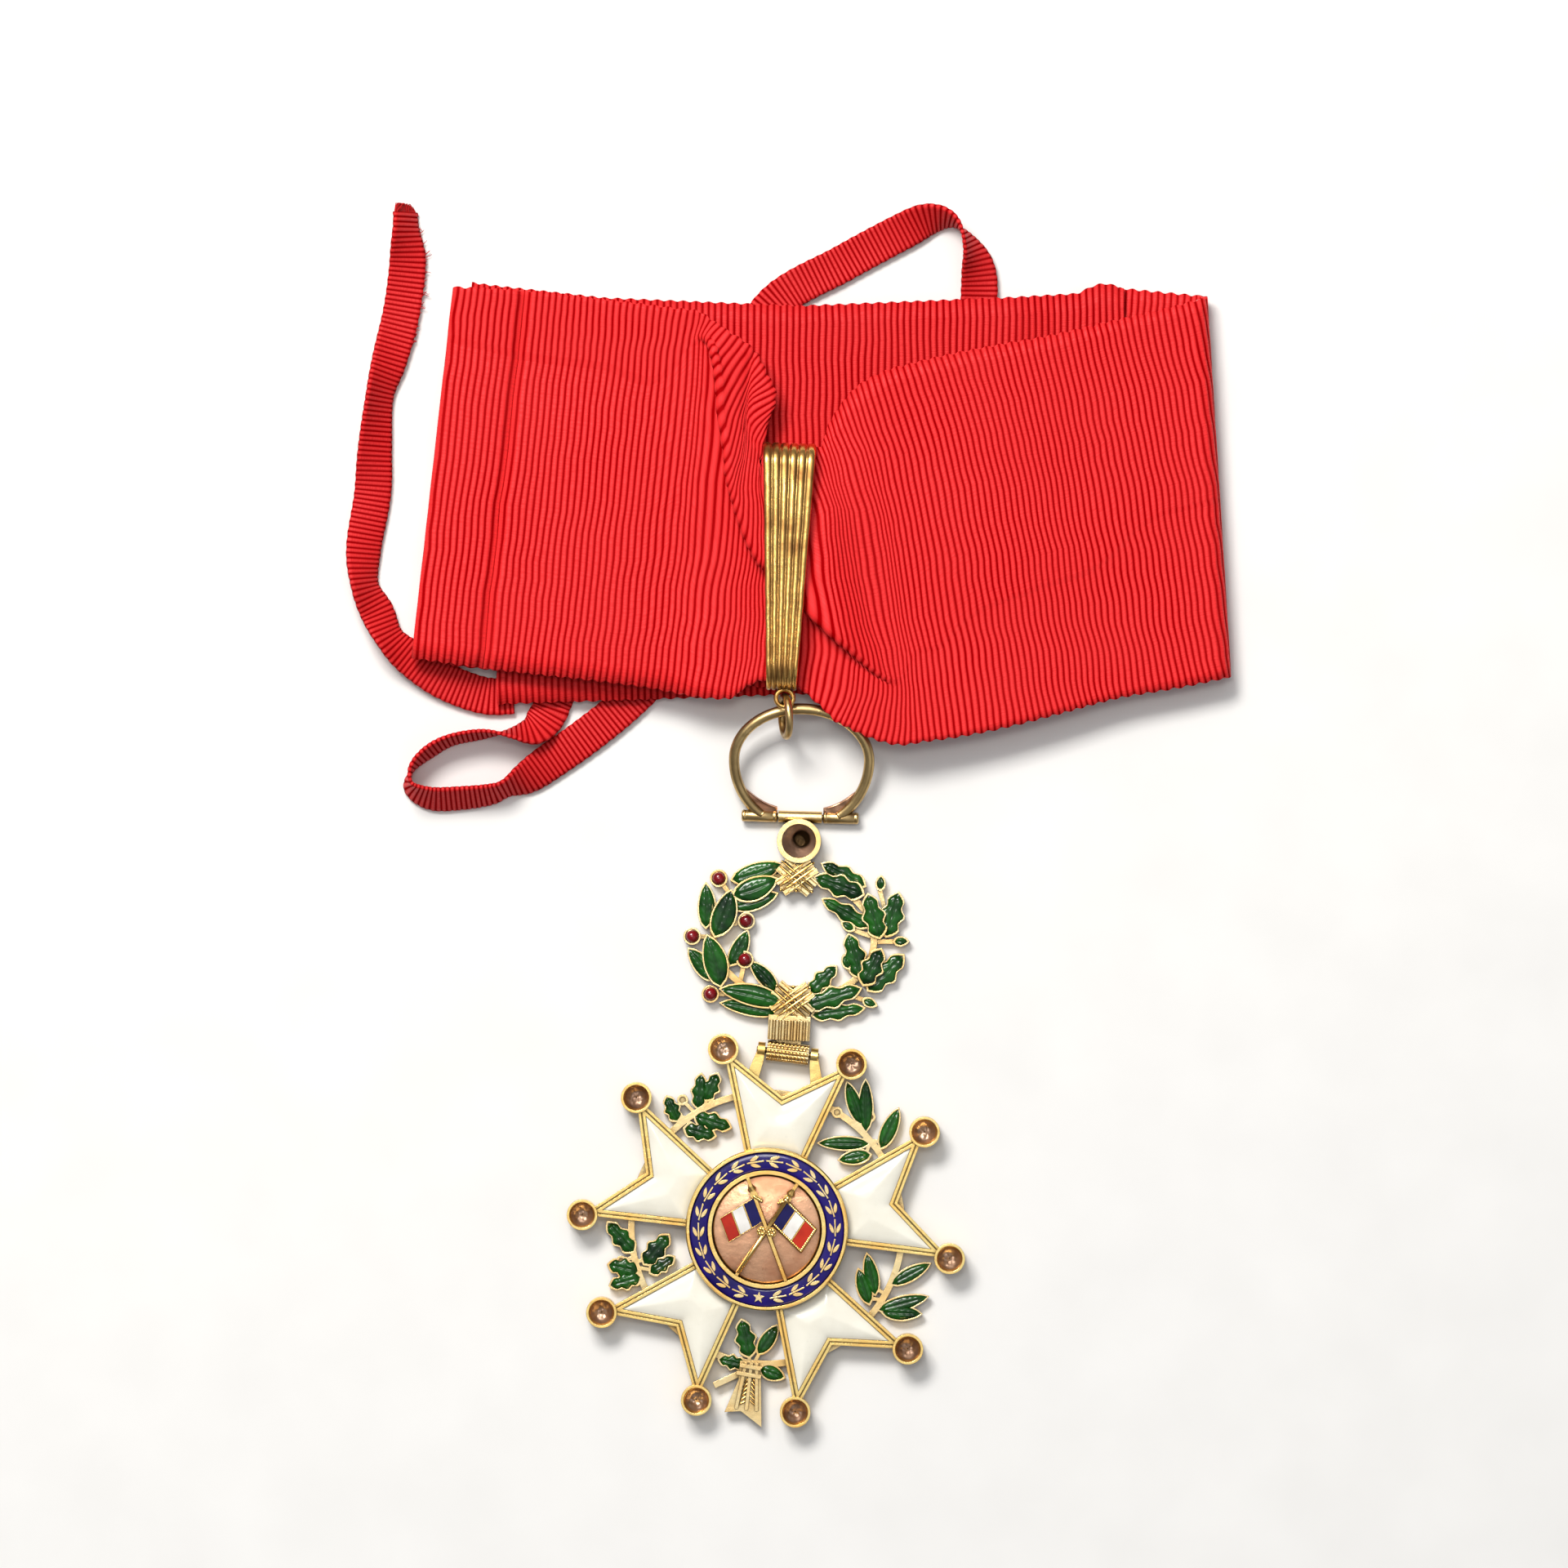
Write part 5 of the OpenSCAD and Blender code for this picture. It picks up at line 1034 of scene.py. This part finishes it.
def arm_enamel(i):
    outline = inset(arm_outline(), BORDER + ARM_GAP)
    r = MEDAL_D / 2 + ARM_GAP
    line = outline[0] + (outline[1] - outline[0]) * np.linspace(0, 1, 400)[:, None]
    corner = line[np.argmin(np.abs(np.hypot(line[:, 0], line[:, 1]) - r))]
    top = atan2(-corner[1], corner[0])
    arc = [(r * cos(q), r * sin(q)) for q in np.linspace(top, -top, 14)]
    verts, faces = filled([tuple(p) for p in outline[1:4]] + arc, ARM_STEP, arm_crown)
    return on_star(verts, 90 + 72 * i), faces


for i in range(5):
    verts, faces = arm_enamel(i)
    arm = make(f"arm_dome_{i + 1}", verts, faces, "star", WHITE)
    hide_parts(f"arm_enamel_{i + 1}")

# Radius, floor and rise of the linings, and the collet's place on the wreath and that of its well
CUP_LINING = (1.86, 2.25, 1.2)
COLLET_LINING = (2.52, 1.74, 1.3)
COLLET_Y, WELL_AT, WELL_R, WELL_DEPTH = 14.8, (0.4, 0.35), 1.3, 0.38


# Crumpled foil in a cup: rings of points from the middle out to the wall
def lining(radius, bottom, rise, seed, rings=12, spokes=36, crumple=0.22, cone=0.0):
    verts = [(0, 0, bottom)]
    for u in np.arange(1, rings + 1) / rings:
        wall = rise * (max(u - cone, 0) / (1 - cone) if cone else u**3)
        for a in circle(spokes):
            x, y = radius * u * cos(a), radius * u * sin(a)
            bend = noise.noise(Vector((x * 1.3 + seed * 7.3, y * 1.3, seed * 3.1)))
            fold = noise.noise(Vector((x * 3.1, y * 3.1 + seed * 5.7, seed)))
            verts.append((x, y, bottom + wall + crumple * (bend + 0.45 * fold) * (1 - u**6)))
    faces = [(0, 1 + j, 1 + (j + 1) % spokes) for j in range(spokes)]
    faces += (1 + grid_faces(rings, spokes, close_cols=True)).tolist()
    return np.array(verts), faces


parts = Parts()
for i in range(5):
    for s in (-1, 1):
        x, y = CUP_REACH * polar(90 + 72 * i + s * SPREAD + STAR_TILT)
        verts, faces = lining(*CUP_LINING, i * 2 + s)
        # The middle point of each cup's foil is marked for painted shade at its bottom
        parts.add((verts, faces, np.arange(len(verts)) == 0), shifted((x, y, 0)))
parts.make("cup_linings", "star", "copper_gilt", FOIL, "deep")
parts = Parts()
verts, faces = lining(*COLLET_LINING, 23, 26, 72, 0.05, 0.35)
# The well is cut deeper and also marked for painted shade on its floor
well = np.exp(-(np.hypot(verts[:, 0] - WELL_AT[0], verts[:, 1] - WELL_AT[1]) / WELL_R) ** 8)
verts[:, 2] -= WELL_DEPTH * well
parts.add((verts, faces, well), shifted((0, COLLET_Y, 0)), on_wreath)
parts.make("collet_lining", "wreath", "copper_gilt", FOIL, "deep")


# Raised strokes: short rounded ridges laid along a line
def ridge(a, b, width, z, height, steps=8):
    a, b = np.array(a, float), np.array(b, float)
    t = np.linspace(0, 1, steps)[:, None]
    along = (b - a) / np.hypot(*(b - a))
    side = np.array([-along[1], along[0]])
    s = np.array([-1, -0.6, 0, 0.6, 1])[None, :, None]
    taper = np.sin(np.clip(t, 0.04, 0.96) * pi) ** 0.35
    flat = (a + (b - a) * t)[:, None] + side * s * (width / 2 * taper)[:, None]
    z = z + height * np.sqrt(1 - s[..., 0] ** 2) * taper
    return raised(flat, z).reshape(-1, 3), grid_faces(steps, 5)[:, ::-1]


def bead(x, y, z, r, flatten=1.0, rows=6, cols=10):
    profile = [(r * sin(u), r * flatten * cos(u)) for u in np.linspace(0, pi / 2 + 0.5, rows)]
    return revolved(profile, cols) + [x, y, z], grid_faces(rows, cols, close_cols=True)


# Cords: offset across the tie as a share of its height, width and height
CORDS = ((-0.26, 0.3, 0.2), (-0.1, 0.55, 0.42), (0.07, 0.5, 0.46), (0.24, 0.3, 0.2))
# Ties of the wreath: middle, width and height
KNOTS = ((0, 0.75 * WREATH_H / 2, 5, 4.6), (0.3, -0.77 * WREATH_H / 2, 5.4, 4.8))
CORD_Z, FAN_Z, EDGE_BEAD_Z = 2.27, 1.95, 1.9
parts = Parts()
for cx, cy, sx, sy in KNOTS:
    for turn in (-38, 38):
        for offset, width, height in CORDS:
            y = offset * sy
            verts, faces = ridge((-0.6 * sx, y), (0.6 * sx, y), width, CORD_Z + 0.08 * (turn > 0), height, 14)
            verts[:, 2] += 0.05 * np.sin(verts[:, 0] * 5.0)
            parts.add((turned(verts, turn, (cx, cy)), faces), on_wreath)
    for turn in (fan + spread for fan in range(0, 360, 90) for spread in (-24, -8, 8, 24)):
        verts, faces = ridge((1.1, 0), (2.25, 0), 0.3, FAN_Z, 0.45)
        parts.add((turned(verts, turn, (cx, cy)), faces), on_wreath)
    for k in range(9):
        x = cx + sx * (k / 8 - 0.5) * 0.94
        for side in (-1, 1):
            parts.add(bead(x, cy + side * sy * 0.47, EDGE_BEAD_Z, 0.24), on_wreath)
# Scales on the barrel
PIN_AT, PIN_Z, BARREL_R, SCALE_STEP = (3.18507, 26.7108), 1.6, 1.5, 0.56
for row, angle in enumerate((-52, -26, 0, 26, 52)):
    for k in range(11):
        x = (k - 5 + (0.5 if row % 2 else 0)) * SCALE_STEP
        if abs(x) > 3.0:
            continue
        verts, faces = bead(0, 0, BARREL_R, 0.27, 0.62)
        verts = tipped(verts * [1.05, 1, 1], -angle) + [x, 0, PIN_Z]
        parts.add((turned(verts, STAR_TILT, PIN_AT), faces))
parts.make("wreath_relief", "wreath", "gold", BRIGHT_GOLD)

# Trunk of the lowest spray: pairs of slanting strokes, in shares of the crown's radius
STROKE_PAIRS, STROKE_W, STROKE_Z, STROKE_H = 6, 0.42, 2.08, 0.32
parts = Parts()
for k in range(STROKE_PAIRS):
    for side in (-1, 1):
        foot = np.array([1.1 + 0.034 * k, side * 0.008 + 0.015])
        end = foot + [0.05, side * (0.036 + 0.007 * k)]
        stroke = ridge(CROWN_R * foot, CROWN_R * end, STROKE_W, STROKE_Z, STROKE_H)
        parts.add(stroke, lambda verts: on_star(verts, 270))
parts.make("trunk_strokes", "star", "gold", BRIGHT_GOLD)


# Medallion: the blue band and the centre are slightly crowned, as fired enamel and struck gold are
def turned_form(name, profile, material, node, steps=180):
    faces = grid_faces(len(profile), steps, close_cols=True)[:, ::-1]
    piece = make(name, on_star(revolved(profile, steps)), faces, "star", material)
    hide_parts(node)


BAND_IN, BAND_OUT, BAND_Z, BAND_LOW, BAND_CROWN = 8.98, 11.71, 4.74, 4.1, 0.15
DOME_R, DOME_Z, DOME_LOW, DOME_CROWN = 8.3, 4.18, 4.0, 0.42
band = [(BAND_IN, BAND_LOW), (BAND_IN, BAND_Z)]
band += [(BAND_IN + 2.74 * t, BAND_Z + BAND_CROWN * sin(pi * (0.12 + 0.88 * t)) ** 0.7)
    for t in np.linspace(0, 1, 14)[1:-1]]
band += [(BAND_OUT, 4.7), (BAND_OUT, BAND_LOW)]
turned_form("band_crowned", band, BLUE, "band_enamel")
dome = [(0.01 + (DOME_R - 0.01) * t, DOME_Z + DOME_CROWN * (1 - t**2)) for t in np.linspace(0, 1, 24)]
turned_form("disc_crowned", dome + [(DOME_R, DOME_LOW)], COPPER_GILT, "centre_disc")

# Flags: poles with finials, a beaded fringe on the right one, tassels and the knot where the poles cross
POLE, FLY = polar(27)[::-1], polar(-38)
FLAG_FOOT, HOIST, FLY_L = 1.3527, 3.9, 6.2
# Shaft and finial: place along the pole and radius
SHAFT = np.array([(-7.9, 0.36), (5.0, 0.36), (5.15, 0.58), (5.45, 0.58), (5.6, 0.4), (6.1, 0.4), (6.5, 0.72),
    (7.7, 0.06)])
# Sides of the fringe: start and end as shares of the fly and the hoist, and count of beads
FRINGE = (((0.05, 1), (1, 1), 18), ((1, 1), (1, 0), 12), ((1, 0), (0.05, 0), 18))
FRINGE_Z, POLE_Z, TASSEL_Z = 5.0, 5.05, 5.38
parts = Parts()
for first, last, count in FRINGE:
    for k in range(count):
        u, v = np.array(first) + (np.array(last) - first) * k / count
        x, y = (FLAG_FOOT + v * HOIST) * POLE + u * FLY_L * FLY
        parts.add(bead(x, y, FRINGE_Z, 0.32, 0.9), on_star)
for s in (-1, 1):
    path = [(s * POLE[0] * t, POLE[1] * t, POLE_Z + 0.1 * s) for t in SHAFT[:, 0]]
    parts.add(tube(path, SHAFT[:, 1], 14), on_star)
    for k in range(5):
        x, y = s * (5.3 * POLE[0] - 0.28 * k), 5.3 * POLE[1] - 0.13 * k
        parts.add(bead(x, y, TASSEL_Z, 0.3 - 0.02 * k, 0.8), on_star)
    for a in range(0, 360, 60):
        x, y = (s * 0.75, -0.35) + 0.42 * polar(a)
        parts.add(bead(x, y, TASSEL_Z, 0.3, 0.8), on_star)
parts.make("flag_trim", "star", "gold", BRIGHT_GOLD)

# Materials of the CAD nodes that stay
FINISH = {
    "ring_pin": OLIVE_GOLD, "wreath_frame": PALE_GOLD,
    "star_frame": GOLD, "star_pin": OLIVE_GOLD, "leaf_crown": PALE_GOLD, "medal_frame": GOLD,
    "band_ornament": PALE_GOLD, "flag_poles": BRIGHT_GOLD,
    "flag_blue": FLAG_BLUE, "flag_white": FLAG_WHITE, "flag_red": FLAG_RED, "reverse_plate": GOLD}
for k in range(1, 6):
    FINISH[f"berry_{k}"] = RUBY
for name, material in FINISH.items():
    mesh = nodes[name].data
    mesh.materials.clear()
    mesh.materials.append(material)


# Floor, light and camera
def floor_material():
    material, tree, shader = start("pale_floor")
    grain = noise_of(tree, places(tree), 60.0, 3.0)
    colour = mix(tree, remap(tree, grain, 0.3, 0.7), (0.70, 0.69, 0.67), (0.67, 0.66, 0.64))
    put(tree, shader, {"Base Color": colour, "Roughness": 0.9})
    return material


FLOOR_Z, FLOOR_HALF = -0.0002, 3
mesh = bpy.data.meshes.new("floor")
corners = [(-1, -1), (1, -1), (1, 1), (-1, 1)]
mesh.from_pydata([(FLOOR_HALF * x, FLOOR_HALF * y, FLOOR_Z) for x, y in corners], [], [(0, 1, 2, 3)])
mesh.materials.append(floor_material())
ground = show("floor", mesh)

MIDDLE = Vector((2.61, 67.52, 0)) * MM
LENS, SENSOR, VIEW_W = 200, 36, 238.5


def softbox(name, at, size, power, colour):
    data = bpy.data.lights.new(name, "AREA")
    data.shape = "RECTANGLE"
    data.size, data.size_y = size
    data.energy = power
    data.color = colour
    light = show(name, data)
    light.location = Vector(at) * MM
    light.rotation_euler = (MIDDLE - light.location).to_track_quat("-Z", "Y").to_euler()


softbox("key", (-230, 520, 640), (0.34, 0.22), 7.8, (1.0, 0.98, 0.95))
softbox("top", (-30, 230, 1000), (0.2, 0.14), 1.4, (1.0, 0.97, 0.92))
softbox("fill", (420, -260, 700), (0.8, 0.8), 0.9, (0.95, 0.97, 1.0))


# The room: brightest above and a little towards the ribbon, dim near the horizon
def room():
    world = bpy.data.worlds.new("studio")
    world.use_nodes = True
    tree = world.node_tree
    way = add(tree, "TexCoord").outputs["Generated"]
    facing = add(tree, "VectorMath", {0: way, 1: (-0.17, 0.42, 0.89)}, operation="DOT_PRODUCT")
    glow = remap(tree, facing.outputs["Value"], 0.7, 1.0, 0.2, 1.4, interpolation_type="SMOOTHSTEP")
    put(tree, tree.nodes["Background"], {"Color": (0.94, 0.96, 1.0, 1), "Strength": glow})
    return world


bpy.context.scene.world = room()
bpy.context.scene.view_settings.view_transform = "Standard"

camera = bpy.data.cameras.new("camera")
camera.lens = LENS
camera.sensor_width = SENSOR
camera.clip_end = 10
eye = show("camera", camera)
eye.location = MIDDLE + Vector((0, 0, VIEW_W * LENS / SENSOR * MM))
bpy.context.scene.camera = eye
